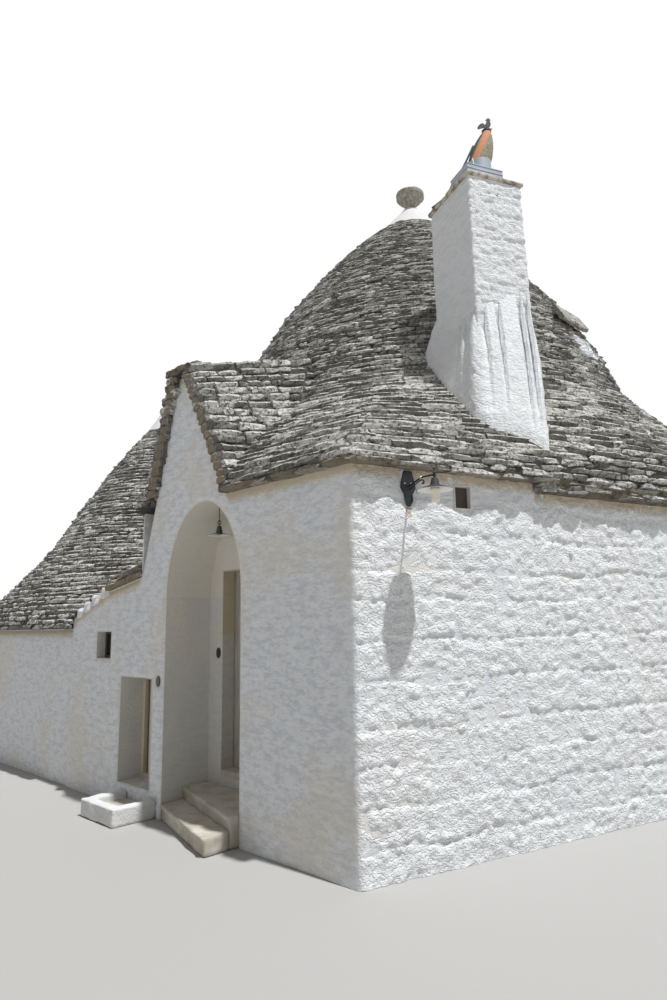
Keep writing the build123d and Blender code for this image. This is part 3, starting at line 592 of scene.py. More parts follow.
def lay(name, places, seed, finish=slab_finish, break_depth=0.018):
    # places holds (position, turn, size, tone, brown) for each slab
    piece = plain_mesh(name, [p[0] for p in places], [])
    for label, column in (("turn", 1), ("size", 2)):
        values = np.array([p[column] for p in places], np.float32).ravel()
        piece.data.attributes.new(label, "FLOAT_VECTOR", "POINT").data.foreach_set("vector", values)
    for label, column in (("tone", 3), ("brown", 4)):
        store(piece.data, label, [p[column] for p in places])
    modifier = piece.modifiers.new("slabs", "NODES")
    modifier.node_group = SLAB_LAYER
    for label, value in (("Shapes", slab_box), ("Finish", finish), ("Break depth", break_depth),
                         ("Break size", BREAK_SIZE), ("Seed", seed)):
        set_input(modifier, label, value)
    graph = bpy.context.evaluated_depsgraph_get()
    plain = bpy.data.meshes.new_from_object(piece.evaluated_get(graph))
    piece.modifiers.clear()
    piece.data = plain
    normals = np.empty(len(plain.polygons) * 3, np.float32)
    plain.polygons.foreach_get("normal", normals)
    # How far each face looks up, for the painted highlight on top faces
    store(plain, "up", normals[2::3], "FACE")
    store(plain, "street", np.maximum(-normals[1::3], -normals[2::3]), "FACE")
    finish_piece(piece)
    print(name, len(places), "slabs", len(plain.polygons), "faces")


# %% [markdown]
# The rings follow the real outline of the roof at their own height, gable and all. The outline is felt from
# outside, ray by ray, and left open where a wall or the gable roof stands in front. Along each open stretch
# the mason then sets slabs of uneven width, side by side.

# %% Outlines of the courses
FEEL_STEP = math.radians(0.25)
FEEL_FROM = 8.0
BREAK_JUMP = 0.30
CORNER_TURN = math.radians(28)
CORNER_SPAN = 3
CORNER_LAP = 0.025
SHORTEST = 0.06
LEVEL_SLIP = (-0.004, 0.004)


def outline_at(tree, owners, centre, levels, blockers=()):
    # Runs of points along the roof's outline, counter-clockwise, at the furthest of a few heights
    runs, run = [], []
    for k in range(int(round(2 * math.pi / FEEL_STEP)) + 1):
        angle = k * FEEL_STEP
        way = Vector((math.cos(angle), math.sin(angle), 0))
        spot, owner = None, None
        for z in levels:
            origin = Vector((centre.x, centre.y, z)) + way * FEEL_FROM
            hit, _, index, _ = tree.ray_cast(origin, -way, FEEL_FROM)
            if hit is not None and (spot is None or (hit - spot).dot(way) > 0):
                spot, owner = hit, owners[index]
        closed = spot is None or owner in blockers
        if closed or (run and (spot.xy - run[-1].xy).length > BREAK_JUMP):
            runs.append(run)
            run = []
        if not closed:
            run.append(spot)
    return [part for whole in runs + [run] for part in corner_split(whole)]


def corner_split(run):
    # Runs between the sharp corners of a run, each a little longer than its side
    parts, part, k = [], run[:1], 1
    while k < len(run):
        part.append(run[k])
        if CORNER_SPAN <= k < len(run) - CORNER_SPAN and len(part) > CORNER_SPAN:
            before = run[k].xy - run[k - CORNER_SPAN].xy
            after = run[k + CORNER_SPAN].xy - run[k].xy
            if abs(before.angle_signed(after, 0.0)) > CORNER_TURN:
                part.append(run[k] + Vector((*before.normalized(), 0)) * CORNER_LAP)
                parts.append(part)
                part = [run[k] - Vector((*after.normalized(), 0)) * CORNER_LAP]
                part += run[k:k + CORNER_SPAN]
                k += CORNER_SPAN - 1
        k += 1
    return [p for p in parts + [part] if len(p) > 1]


def along(run):
    steps = [0.0]
    for a, b in zip(run, run[1:]):
        steps.append(steps[-1] + (b - a).length)
    return steps


def point_on(run, steps, s):
    k = int(np.clip(np.searchsorted(steps, s) - 1, 0, len(run) - 2))
    share = (s - steps[k]) / max(steps[k + 1] - steps[k], 1e-6)
    return run[k].lerp(run[k + 1], min(max(share, 0.0), 1.0))


def course(runs, z, tall, wide, deep, places, hidden=None, proud=(0.002, 0.030), brown=0.0,
           fill=(0.80, 1.0), tone=1.0, lap=1.0):
    # One row of slabs along each run: wide, deep, proud and fill are ranges that chance picks from
    for run in runs:
        steps = along(run)
        s = 0.0
        while s < steps[-1] - 0.03:
            width = min(chance.uniform(*wide), steps[-1] - s)
            if steps[-1] - s - width < SHORTEST:
                width = steps[-1] - s
            a = point_on(run, steps, s)
            b = point_on(run, steps, s + width)
            s += width
            flat = b - a
            if flat.length < 0.02 or (hidden and hidden((a + b) / 2)):
                continue
            heading = math.atan2(flat.y, flat.x)
            outward = Vector((math.sin(heading), -math.cos(heading), 0))
            spot = (a + b) / 2 + outward * chance.uniform(*proud)
            spot.z = z + chance.uniform(*LEVEL_SLIP)
            turn = (math.radians(chance.uniform(2, 7)), math.radians(chance.normal(0, 0.9)), heading)
            length = flat.length * chance.uniform(0.94, 0.99) * lap
            size = (length, chance.uniform(*deep), tall * chance.uniform(*fill))
            places.append((spot, turn, size, chance.uniform(0, tone), brown))


main_tree, main_owners = surface_of(MAIN_ROOF + MAIN_BLOCKERS)
annex_tree, annex_owners = surface_of(ANNEX_ROOF + ["annex_wall"])
eave_low, eave_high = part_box("front_eave")
skirt_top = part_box("lower_roof")[1].z
cone_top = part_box("main_cone")[1].z
print("eaves", round(eave_low.z, 3), "skirt top", round(skirt_top, 3), "cone top", round(cone_top, 3))

# %% [markdown]
# The rings of the main roof start with larger slabs on the eaves, keep about 65 mm on the skirt, and get
# thinner towards the top. Rings over the skirt and rings of the cone are two pieces, so that neither gets
# too heavy.

# %% Main roof slabs
EAVE_COURSE = 0.056
LOW_COURSE = 0.068
HIGH_COURSE = 0.054
LOW_SHARE = 0.35
LOW_WIDE = (0.13, 0.44)
HIGH_WIDE = (0.10, 0.32)
MAIN_DEEP = (0.17, 0.27)


def main_rings(low, high):
    places = []
    z = low
    while z < high:
        share = (z - eave_high.z) / (cone_top - eave_high.z)
        pitch = (LOW_COURSE + (HIGH_COURSE - LOW_COURSE) * share) * chance.uniform(0.86, 1.14)
        runs = outline_at(main_tree, main_owners, MAIN_AXIS, (z + 0.004, z + pitch), MAIN_BLOCKERS)
        wide = LOW_WIDE if share < LOW_SHARE else HIGH_WIDE
        course(runs, z, pitch, wide, MAIN_DEEP, places, tone=1.0 - 0.45 * share, fill=(0.86, 1.04), lap=1.10)
        z += pitch
    return places


eave_places = []
eave_runs = outline_at(main_tree, main_owners, MAIN_AXIS, [(eave_low.z + eave_high.z) / 2], MAIN_BLOCKERS)
course(eave_runs, eave_low.z - 0.008, EAVE_COURSE, (0.22, 0.55), (0.20, 0.30), eave_places,
       proud=(0.012, 0.030), brown=0.75, fill=(0.96, 1.04), lap=1.05)
lay("eave_slabs", eave_places, seed=3)
lay("skirt_slabs", main_rings(eave_high.z, skirt_top), seed=4)
lay("cone_slabs", main_rings(skirt_top, cone_top), seed=5)

# %% [markdown]
# High on the right of the cone two flat stones lie along its slope as a small hood, and the stones under
# them are limewashed.

# %% Hood on the cone
HOOD_FOOT = 5.36
HOOD_TALL = 0.20
HOOD_TURN = math.radians(-2.5)
HOOD_STONES = ((-0.17, 0.30), (0.13, 0.34))
HOOD_LIFT = 0.065
PATCH_ROWS = 5
PATCH_TALL = 0.055
PATCH_DROP = 0.34
PATCH_ASIDES = (-0.13, 0.0, 0.13)
hood_places, patch_places = [], []


def on_cone(z, aside):
    # A spot on the main cone beside the hood's middle line
    way = Vector((math.cos(HOOD_TURN), math.sin(HOOD_TURN), 0))
    across = Vector((-way.y, way.x, 0))
    start = Vector((*MAIN_AXIS, z)) + across * aside + way * FEEL_FROM
    return main_tree.ray_cast(start, -way, FEEL_FROM)[0], way


for aside, wide in HOOD_STONES:
    foot, way = on_cone(HOOD_FOOT, aside)
    top, _ = on_cone(HOOD_FOOT + HOOD_TALL, aside)
    slope = math.atan2(HOOD_TALL, (foot - top).dot(way))
    lift = way * math.sin(slope) + Vector((0, 0, math.cos(slope)))
    hood_places.append((foot.lerp(top, 0.3) + lift * HOOD_LIFT, (slope, 0.0, HOOD_TURN + math.pi / 2),
                        (wide, 0.30, 0.055), chance.uniform(0.3, 0.7), 0.4))
for row in range(PATCH_ROWS):
    for aside in PATCH_ASIDES:
        spot, way = on_cone(HOOD_FOOT - PATCH_DROP + row * PATCH_TALL, aside)
        turn = (0.06, 0.0, HOOD_TURN + math.pi / 2)
        patch_places.append((spot + way * 0.035, turn, (0.15, 0.2, 0.054), 0.5, 0.0))
lay("hood_slabs", hood_places, seed=17)
lay("hood_patch", patch_places, finish=finishes["limewash"], seed=18)

# %% [markdown]
# Under the far part of the side eave hang two thinner rows. The annex has its own rings, and its slabs end
# where they would run into the main roof.

# %% Lower side eave and annex slabs
ANNEX_COURSE = 0.060
DROP_COURSE = 0.046


def only(runs, keep):
    kept = []
    for run in runs:
        part = [p for p in run if keep(p)]
        if len(part) > 1:
            kept.append(part)
    return kept


def inside_main(spot):
    # Above the main walls and under the main roof, felt from outside towards the axis
    way = Vector((spot.x - MAIN_AXIS.x, spot.y - MAIN_AXIS.y, 0)).normalized()
    start = Vector((MAIN_AXIS.x, MAIN_AXIS.y, spot.z)) + way * FEEL_FROM
    hit = main_tree.ray_cast(start, -way, FEEL_FROM)[0]
    return hit is not None and (start - hit).length < (start - spot).length + 0.02


SIDE_HEADING = math.atan2(*reversed((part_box("side_wall")[1].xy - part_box("front_wall")[1].xy)[:]))
drop_places = []
drop_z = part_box("side_eave")[0].z
drop_levels = (drop_z, drop_z + 0.045)
wall_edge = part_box("front_wall")[1].x
drop_runs = only(
    outline_at(main_tree, main_owners, MAIN_AXIS, [drop_z + 0.02], MAIN_BLOCKERS), lambda p: p.x > wall_edge
)
for z in drop_levels:
    course(drop_runs, z, DROP_COURSE, (0.20, 0.5), (0.14, 0.2), drop_places, proud=(-0.01, 0.03))
start_of_drop = min((p for run in drop_runs for p in run), key=lambda p: p.y)
for z in drop_levels:
    spot = Vector((start_of_drop.x - 0.05, start_of_drop.y - 0.01, z))
    turn = (0.05, 0.02, SIDE_HEADING - math.pi / 2)
    drop_places.append((spot, turn, (0.14, 0.2, DROP_COURSE), 0.6, 0.0))
lay("side_eave_drop", drop_places, seed=6)

annex_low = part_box("annex_lower_roof")[0].z
annex_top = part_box("annex_cone")[1].z
annex_places = []
z = annex_low
while z < annex_top:
    pitch = ANNEX_COURSE * chance.uniform(0.86, 1.12)
    runs = outline_at(annex_tree, annex_owners, ANNEX_AXIS, (z + 0.004, z + pitch), ["annex_wall"])
    course(runs, z, pitch, (0.12, 0.36), (0.14, 0.24), annex_places, inside_main)
    z += pitch
lay("annex_slabs", annex_places, seed=8)

# %% [markdown]
# The two slopes of the gable carry thicker slabs. Their rows climb with the ridge at the top and lie level
# at the eave, where they meet the rings of the skirt in a valley. At the verge each row ends in a squared
# brown stone, and these stones make the stepped edge that is seen from the street.

# %% Gable slabs and verge
GABLE_COURSE = 0.082
VERGE_DEEP = 0.12
VERGE_PROUD = 0.024
COVER_ACROSS = 0.175
ROW_STEP = 0.02
RIDGE_KEEP = 0.16
FOOT_STEP = GABLE_COURSE * 0.92

gable_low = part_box("gable_roof")[0]
gable_tree, gable_owners = surface_of(["gable_roof", "lower_roof", "main_cone"] + ANNEX_ROOF)
ridge_low, ridge_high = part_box("ridge_slab")
verge_top = ridge_low.z
ridge_points = [v.co for v in frame["nodes"]["ridge_slab"].data.vertices]
front_top = max(p.z for p in ridge_points if p.y < ridge_low.y + 0.01)
ridge_rise = (ridge_high.z - front_top) / (ridge_high.y - ridge_low.y)


def gable_rows(side, foot, slabs, verge):
    # side is 1 for the right slope and -1 for the left one
    z = foot
    while z < verge_top:
        rise = ridge_rise * min(max((z - foot) / (verge_top - foot), 0.0), 1.0)
        pitch = GABLE_COURSE * chance.uniform(0.8, 1.15)
        run = []
        y = gable_low.y
        while y < MAIN_AXIS.y:
            height = z + 0.004 + rise * (y - gable_low.y)
            start = Vector((side * 6.0, y + 0.002, height))
            spot, _, index, _ = gable_tree.ray_cast(start, Vector((-side, 0, 0)))
            if spot is None or gable_owners[index] != "gable_roof":
                break
            run.append(spot)
            y += ROW_STEP
        if run:
            heading = side * math.pi / 2
            roll = -side * math.atan(rise)
            wide = chance.uniform(0.11, 0.14)
            edge = run[0] + Vector((-side * (COVER_ACROSS - wide / 2), -VERGE_PROUD, 0))
            edge.z = z + chance.uniform(*LEVEL_SLIP)
            tilt, skew = math.radians(chance.uniform(0, 4)), math.radians(chance.normal(0, 2))
            turn = (tilt, skew, chance.normal(0, 0.04))
            verge.append((edge, turn, (wide, VERGE_DEEP, pitch * 0.97), chance.uniform(0.1, 0.9), 1.0))
            s = -0.006
            reach = len(run) * ROW_STEP + 0.06
            while s < reach:
                width = chance.uniform(0.12, 0.38)
                middle = run[min(int((s + width / 2) / ROW_STEP), len(run) - 1)].copy()
                middle.y = gable_low.y + s + width / 2
                middle.x += side * chance.uniform(0.004, 0.035)
                middle.z = z + rise * (middle.y - gable_low.y) + chance.uniform(*LEVEL_SLIP)
                tilt = math.radians(chance.uniform(2, 9))
                turn = (tilt, roll + math.radians(chance.normal(0, 1.5)), heading)
                size = (width * 0.98, chance.uniform(0.16, 0.24), pitch * chance.uniform(0.80, 1.0))
                slabs.append((middle, turn, size, chance.uniform(0.2, 1.0), 0.0))
                s += width
        z += pitch


def ridge_course(slabs):
    # Flat stones that lie back to back along the ridge
    y = gable_low.y + RIDGE_KEEP
    ridge_x = (ridge_low.x + ridge_high.x) / 2
    while y < MAIN_AXIS.y - 1.5:
        width = chance.uniform(0.18, 0.36)
        spot, _, index, _ = gable_tree.ray_cast(Vector((ridge_x, y + width / 2, 9.0)), DOWN)
        if spot is None or gable_owners[index] != "gable_roof":
            break
        for side in (1, -1):
            place = spot + Vector((side * chance.uniform(0.10, 0.13), 0, chance.uniform(-0.066, -0.054)))
            turn = (math.radians(chance.uniform(8, 14)), -side * math.atan(ridge_rise), side * math.pi / 2)
            slabs.append((place, turn, (width * 0.98, 0.15, 0.052), chance.uniform(0.3, 1.0), 0.0))
        y += width


def verge_foot(verge):
    # The lowest squared stones stand on the end of the eave
    first = min((stone[0] for stone in verge if stone[0].x > 0), key=lambda spot: spot.z)
    z = first.z - FOOT_STEP
    while z > eave_low.z - 0.02:
        spot = Vector((first.x + (first.z - z) * 0.30, first.y, z))
        size = (0.14, VERGE_DEEP, GABLE_COURSE * 0.9)
        verge.append((spot, (0.02, 0.0, 0.0), size, chance.uniform(0.1, 0.9), 1.0))
        z -= FOOT_STEP


gable_slabs, verge_stones = [], []
gable_rows(1, eave_low.z, gable_slabs, verge_stones)
gable_rows(-1, gable_low.z + 0.02, gable_slabs, verge_stones)
ridge_course(gable_slabs)
verge_foot(verge_stones)
lay("gable_slabs", gable_slabs, seed=11)
lay("verge_stones", verge_stones, seed=12, break_depth=0.010)

# %% [markdown]
# Limewashed rubble is never flat. The coat is a fine grid that is felt onto the wall: where the wall is
# there, a vertex stands a finger's breadth proud, and where an opening, a lamp plate or an eave begins, the
# grid stops and its edge dips into the wall. Coursed stones, hammered lumps and brush marks are sums of
# smooth random heights.

# %% Heights of rough masonry
LATTICE = 256
MOST_ROWS = 60
MOST_STONES = 80


def ripple(u, v, size, seed):
    # Smooth random height between -1 and 1, with lumps of the given size
    grid = np.random.default_rng(seed).uniform(-1, 1, (LATTICE, LATTICE))
    x, y = u / size, v / size
    i, j = np.floor(x).astype(int), np.floor(y).astype(int)
    fx, fy = x - i, y - j
    fx, fy = fx * fx * (3 - 2 * fx), fy * fy * (3 - 2 * fy)

    def at(a, b):
        return grid[a % LATTICE, b % LATTICE]

    near = at(i, j) * (1 - fx) + at(i + 1, j) * fx
    far = at(i, j + 1) * (1 - fx) + at(i + 1, j + 1) * fx
    return near * (1 - fy) + far * fy


def stonework(u, v, seed, row=(0.20, 0.32), wide=(0.24, 0.62), joint=0.045):
    # Height of irregular coursed stones: -1 in a joint, and round zero on each stone's face
    dice = np.random.default_rng(seed)
    v = v + 0.03 * ripple(u, v, 0.45, seed + 1) + 0.012 * ripple(u, v, 0.11, seed + 2)
    u = u + 0.02 * ripple(u, v, 0.13, seed + 3)
    levels = np.cumsum(dice.uniform(*row, MOST_ROWS)) - row[1]
    which = np.searchsorted(levels, v)
    height = np.zeros_like(u)
    for k in np.unique(which):
        here = which == k
        dice = np.random.default_rng((seed, int(k)))
        joints = np.cumsum(dice.uniform(*wide, MOST_STONES)) - wide[1] - 1.0
        column = np.searchsorted(joints, u[here])
        left, right = joints[column - 1], joints[np.minimum(column, MOST_STONES - 1)]
        low, high = levels[k - 1] if k else -row[1], levels[min(k, MOST_ROWS - 1)]
        beside = np.minimum(u[here] - left, right - u[here]) + joint * 0.15
        gap = np.minimum(beside, np.minimum(v[here] - low, high - v[here]))
        rise = np.clip(gap / joint, 0, 1)
        level = dice.uniform(-1, 1, MOST_STONES + 1)[column]
        face = level + dice.uniform(-1, 1, MOST_STONES + 1)[column] * (u[here] - left) * 1.5
        height[here] = (rise * (2 - rise) - 1) + 0.35 * rise * face
    return height


def rough_wall(u, v, seed):
    relief = 0.0200 * stonework(u, v, seed, joint=0.040) * (0.72 + 0.33 * ripple(u, v * 1.5, 0.45, seed + 14))
    relief += 0.0095 * ripple(u, v * 1.2, 0.070, seed + 11) + 0.0070 * ripple(u, v * 1.2, 0.036, seed + 12)
    return relief + 0.006 * ripple(u, v, 0.32, seed + 13)


def smooth_wall(u, v, seed):
    relief = 0.0028 * stonework(u, v, seed) + 0.004 * ripple(u, v, 0.5, seed + 11)
    return relief + 0.0018 * ripple(u, v, 0.09, seed + 12) + 0.0009 * ripple(u, v, 0.035, seed + 13)


def rough_stack(u, v, seed):
    relief = 0.0100 * stonework(u, v, seed, (0.09, 0.17), (0.16, 0.40), 0.028)
    return relief + 0.0070 * ripple(u, v * 1.5, 0.06, seed + 11) + 0.0045 * ripple(u, v, 0.028, seed + 12)


print("masonry heights ready")

# %% [markdown]
# A coat follows a line in plan. Each of its vertices is tested by a ray, and border rings are found by
# shrinking the mask. Two layers deep from any border the coat has its full thickness.

# %% The coat
OVERHANGS = EAVES + ["gable_roof", "lower_roof", "ridge_slab", "annex_lower_roof", "chimney_slab"]
COAT_THICK = 0.012
COAT_DIP = 0.003
COAT_REACH = 0.3
COAT_SLACK = 0.03
STAIN_DEPTH = 0.17
RING_WEIGHT = 0.55
SEAM = 0.15
WALLS = ["front_wall", "gable_wall", "portal_pier", "annex_wall", "inner_wall", "side_wall", "side_wall_near",
         "side_wall_far", "vent_surround", "back_wall", "left_wall", "annex_far_wall", "party_wall",
         "annex_back_wall", "niche_back_wall"]
LAMPS = ["lamp_arm", "lamp_shade", "lamp_bulb", "pendant_rod", "pendant_shade"]
every_tree, every_owners = surface_of([name for name in frame["nodes"] if name not in LAMPS])


def corner_of(node, x, y, low=-1.0, high=99.0):
    # The vertex of a node that lies furthest in one plan direction, between two heights
    spots = [v.co for v in frame["nodes"][node].data.vertices if low <= v.co.z <= high]
    return max(spots, key=lambda spot: spot.x * x + spot.y * y).copy()


def side_steps(corners, cell):
    return [max(int(math.ceil((b - a).length / cell)), 2) for a, b in zip(corners, corners[1:])]


def plan_line(corners, counts):
    # Points and outward normals along straight sides, softened over the corners
    points, normals = [], []
    for a, b, steps in zip(corners, corners[1:], counts):
        way = (b - a).normalized()
        for j in range(steps):
            points.append(a.lerp(b, j / steps))
            normals.append((way.y, -way.x))
    points.append(corners[-1])
    normals.append(normals[-1])
    points = np.array([(p.x, p.y) for p in points])
    normals = np.array(normals, float)
    points[1:-1] = points[:-2] * 0.25 + points[1:-1] * 0.5 + points[2:] * 0.25
    normals[1:-1] = normals[:-2] * 0.25 + normals[1:-1] * 0.5 + normals[2:] * 0.25
    normals /= np.linalg.norm(normals, axis=1)[:, None]
    return points, normals


def shrink(mask, foot):
    # The mask without its border; at the foot of a wall there is no border
    wide = np.pad(mask, 1, constant_values=False)
    if foot:
        wide[:, 0] = wide[:, 1]
    small = mask.copy()
    rows, columns = mask.shape
    for a in range(3):
        for b in range(3):
            small &= wide[a:a + rows, b:b + columns]
    return small


def coat(name, line_at, z_low, z_high, cell, heights, seed, roughness=None, walls=WALLS, closed=False):
    # line_at gives the line in plan at a height, and heights the relief on it
    levels = np.linspace(z_low, z_high, int(round((z_high - z_low) / cell)) + 1)
    counts = side_steps(line_at(z_low), cell)
    lines = [plan_line(line_at(z), counts) for z in (z_low, z_high)]
    share = (levels - z_low) / (z_high - z_low)
    spots = lines[0][0][:, None] * (1 - share)[None, :, None] + lines[1][0][:, None] * share[None, :, None]
    outward = np.repeat(lines[0][1][:, None], len(levels), axis=1)
    run = np.concatenate([[0], np.cumsum(np.linalg.norm(np.diff(lines[0][0], axis=0), axis=1))])
    u, v = np.meshgrid(run, levels, indexing="ij")
    mask, cover = np.zeros(u.shape, bool), np.zeros(u.shape, bool)
    for i in range(u.shape[0]):
        for j in range(u.shape[1]):
            way = Vector((*outward[i, j], 0))
            origin = Vector((*spots[i, j], levels[j])) + way * COAT_REACH
            hit, _, index, far = every_tree.ray_cast(origin, -way, COAT_REACH + COAT_SLACK)
            owner = None if hit is None else every_owners[index]
            mask[i, j] = owner in walls and abs(far - COAT_REACH) < COAT_SLACK
            cover[i, j] = owner in OVERHANGS and far < COAT_REACH - COAT_SLACK
    if closed:
        mask[-1] = mask[0]
    # The coat runs on a little way into what hangs over it
    mask[:, 1:] |= cover[:, 1:] & mask[:, :-1]
    whole = mask | cover
    foot = z_low < 0.01
    ring = shrink(whole, foot)
    core = shrink(ring, foot)
    if closed:
        ring[0], core[0] = ring[1], core[1]
        ring[-1], core[-1] = ring[0], core[0]
    weight = np.where(core, 1.0, np.where(ring, RING_WEIGHT, 0.0))
    relief = heights(u, v, seed)
    if closed:
        blend = np.clip((run[-1] - u) / SEAM, 0, 1)
        relief = relief * blend + heights(u - run[-1], v, seed) * (1 - blend)
        relief[-1] = relief[0]
    out = -COAT_DIP + weight * (COAT_THICK + COAT_DIP + relief)
    tops = np.where(mask.any(axis=1), levels[mask.shape[1] - 1 - np.argmax(mask[:, ::-1], axis=1)], z_low)
    stain = np.clip(1.0 - (tops[:, None] - v) / STAIN_DEPTH, 0, 1)
    if closed:
        stain = np.where(tops[:, None] > z_high - 1.5 * cell, 0.0, stain)
    number = np.full(mask.shape, -1)
    number[mask] = np.arange(mask.sum())
    points = np.concatenate([spots + outward * out[:, :, None], v[:, :, None]], axis=2)[mask]
    square = mask[:-1, :-1] & mask[1:, :-1] & mask[1:, 1:] & mask[:-1, 1:]
    faces = np.stack([number[:-1, :-1], number[1:, :-1], number[1:, 1:], number[:-1, 1:]], axis=2)[square]
    piece = plain_mesh(name, points.tolist(), faces.tolist(), [finishes["limewash"]])
    share_rough = np.ones(u.shape) if roughness is None else roughness(u)
    store(piece.data, "stain", stain[mask])
    store(piece.data, "rough", share_rough[mask])
    finish_piece(piece, smooth=True)
    print(name, len(faces), "squares")


# %% [markdown]
# The front and the near side wall are one coat, so the corner is soft. The smooth front and the rough side
# differ only in their heights, which change over at the corner.

# %% Coats of the walls
FRONT_CELL = 0.017
FAR_CELL = 0.036
STREET_CELL = 0.03
NEAR_SIDE = 4.6
TURN_OVER = 0.04
SMOOTH_SHARE = 0.12

entrance_corner = corner_of("front_wall", 1, -1)
side_far = corner_of("side_wall", 1, 0.3)
back_far = corner_of("left_wall", -1, 0.5)
left_near = corner_of("left_wall", -1, -0.3)
party_near = corner_of("party_wall", -1, -1)
party_back = corner_of("party_wall", -1, 1)
front_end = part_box("annex_wall")[0].x
roof_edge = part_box("side_eave")[1].z
side_way = (side_far - entrance_corner).normalized()
side_near = entrance_corner + side_way * NEAR_SIDE
entrance_run = entrance_corner.x - front_end


def flat(*spots):
    return [Vector((p.x, p.y)) for p in spots]


def on_side(u):
    # 0 on the smooth front and 1 on the rough side wall, changing over at the corner
    return np.clip((u - entrance_run) / TURN_OVER + 0.5, 0, 1)


def quite_smooth(u):
    return np.full(u.shape, SMOOTH_SHARE)


def front_and_side(u, v, seed):
    share = on_side(u)
    return smooth_wall(u, v, seed) * (1 - share) + rough_wall(u, v, seed + 40) * share


gable_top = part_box("gable_wall")[1].z
wall_end = Vector((front_end, 0, 0))
coat("front_coat", lambda z: flat(wall_end, entrance_corner, side_near), 0.0, gable_top, FRONT_CELL,
     front_and_side, 21, on_side)
coat("far_side_coat", lambda z: flat(side_near, side_far, back_far, left_near), 0.0, roof_edge, FAR_CELL,
     lambda u, v, seed: rough_wall(u + entrance_run + NEAR_SIDE, v, seed), 61)
far_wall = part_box("annex_far_wall")
street_left = [Vector((party_near.x, far_wall[0].y, 0)), Vector((front_end, far_wall[0].y, 0))]
coat("annex_street_coat", lambda z: flat(*street_left), 0.0, far_wall[1].z, STREET_CELL,
     smooth_wall, 23, quite_smooth)
annex_end = Vector((left_near.x, party_back.y, 0))
coat("annex_back_coat", lambda z: flat(annex_end, party_back, party_near), 0.0, far_wall[1].z, FAR_CELL,
     smooth_wall, 24, quite_smooth)

# %% [markdown]
# The chimney has its own coat. Its street face is rough and its left face is brushed smooth. The stack leans
# in on one side, so the line of the coat is drawn at the foot and at the top.

# %% Chimney coat
CHIMNEY_CELL = 0.016
stack_low, stack_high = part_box("chimney_stack")
stack_foot = roof_edge + 0.25
near_edge = corner_of("chimney_slab", 0.35, -0.94) - corner_of("chimney_slab", -0.94, -0.35)
stack_turn = math.atan2(near_edge.y, near_edge.x)
STACK_WAYS = [(math.cos(stack_turn + math.radians(a)), math.sin(stack_turn + math.radians(a)))
              for a in (-135, -45, 45, 135)]
STACK_SEED = 31


def stack_corners(z):
    # The outline of the stack at one height, from the middle of its back side and round to it again
    line = []
    for x, y in STACK_WAYS:
        top = corner_of("chimney_stack", x, y, stack_high.z - 0.01)
        foot = corner_of("chimney_stack", x, y, stack_low.z, stack_low.z + 1.6)
        line.append(foot.lerp(top, (z - foot.z) / (top.z - foot.z)))
    back = (line[0] + line[3]) / 2
    return flat(back, *line, back)


def off_left_face(u):
    # 0 on the left face, which is brushed smooth, and 1 on the others
    line = stack_corners(stack_high.z)
    start = (line[1] - line[0]).length
    left_face = (line[2] - line[1]).length
    from_start = np.clip((u - start) / TURN_OVER, 0, 1)
    to_end = np.clip((start + left_face - u) / TURN_OVER, 0, 1)
    return 1 - 0.75 * from_start * to_end


def stack_heights(u, v, seed):
    share = off_left_face(u)
    return rough_stack(u, v, seed) * share + smooth_wall(u, v, seed) * (1 - share)


coat("chimney_coat", stack_corners, stack_foot, stack_high.z, CHIMNEY_CELL, stack_heights, STACK_SEED,
     lambda u: 0.6 + 0.4 * off_left_face(u), ["chimney_stack", "lower_roof", "main_cone"], closed=True)

# %% [markdown]
# Where the stack meets the roof, the limewash runs out over the slabs as a soft apron. Its lower edge is felt
# on the roof all the way round.

# %% Chimney apron
APRON_STEPS = 40
APRON_CELL = 0.022
APRON_LEVEL = 0.9
# Where the foot of the limewash lies, seen from the corners of the stack, starting at its back
APRON_SHIFTS = ((0.0, 0.03), (-0.10, 0.0), (0.158, -0.267), (0.259, -0.50), (0.03, 0.03))
# How far up the stack the limewash of the apron begins at the same corners
APRON_RISES = (0.12, 0.35, 1.05, 1.30, 0.12)
# The foot spreads outward, lies on top of the slabs and has an edge that hangs down between them
APRON_SPREAD = 0.03
APRON_OVER = 0.075
APRON_EDGE = 0.095
# The apron starts as a thin skin, and its swell fades in
APRON_SKIN = 0.004
APRON_SWELL = 0.036
APRON_FADE = 3.0
APRON_ROUGH = 0.8
apron_tree, _ = surface_of(["lower_roof", "main_cone"])


def roof_height(spot):
    hit = apron_tree.ray_cast(Vector((spot[0], spot[1], 12.0)), DOWN)[0]
    return hit.z if hit else roof_edge


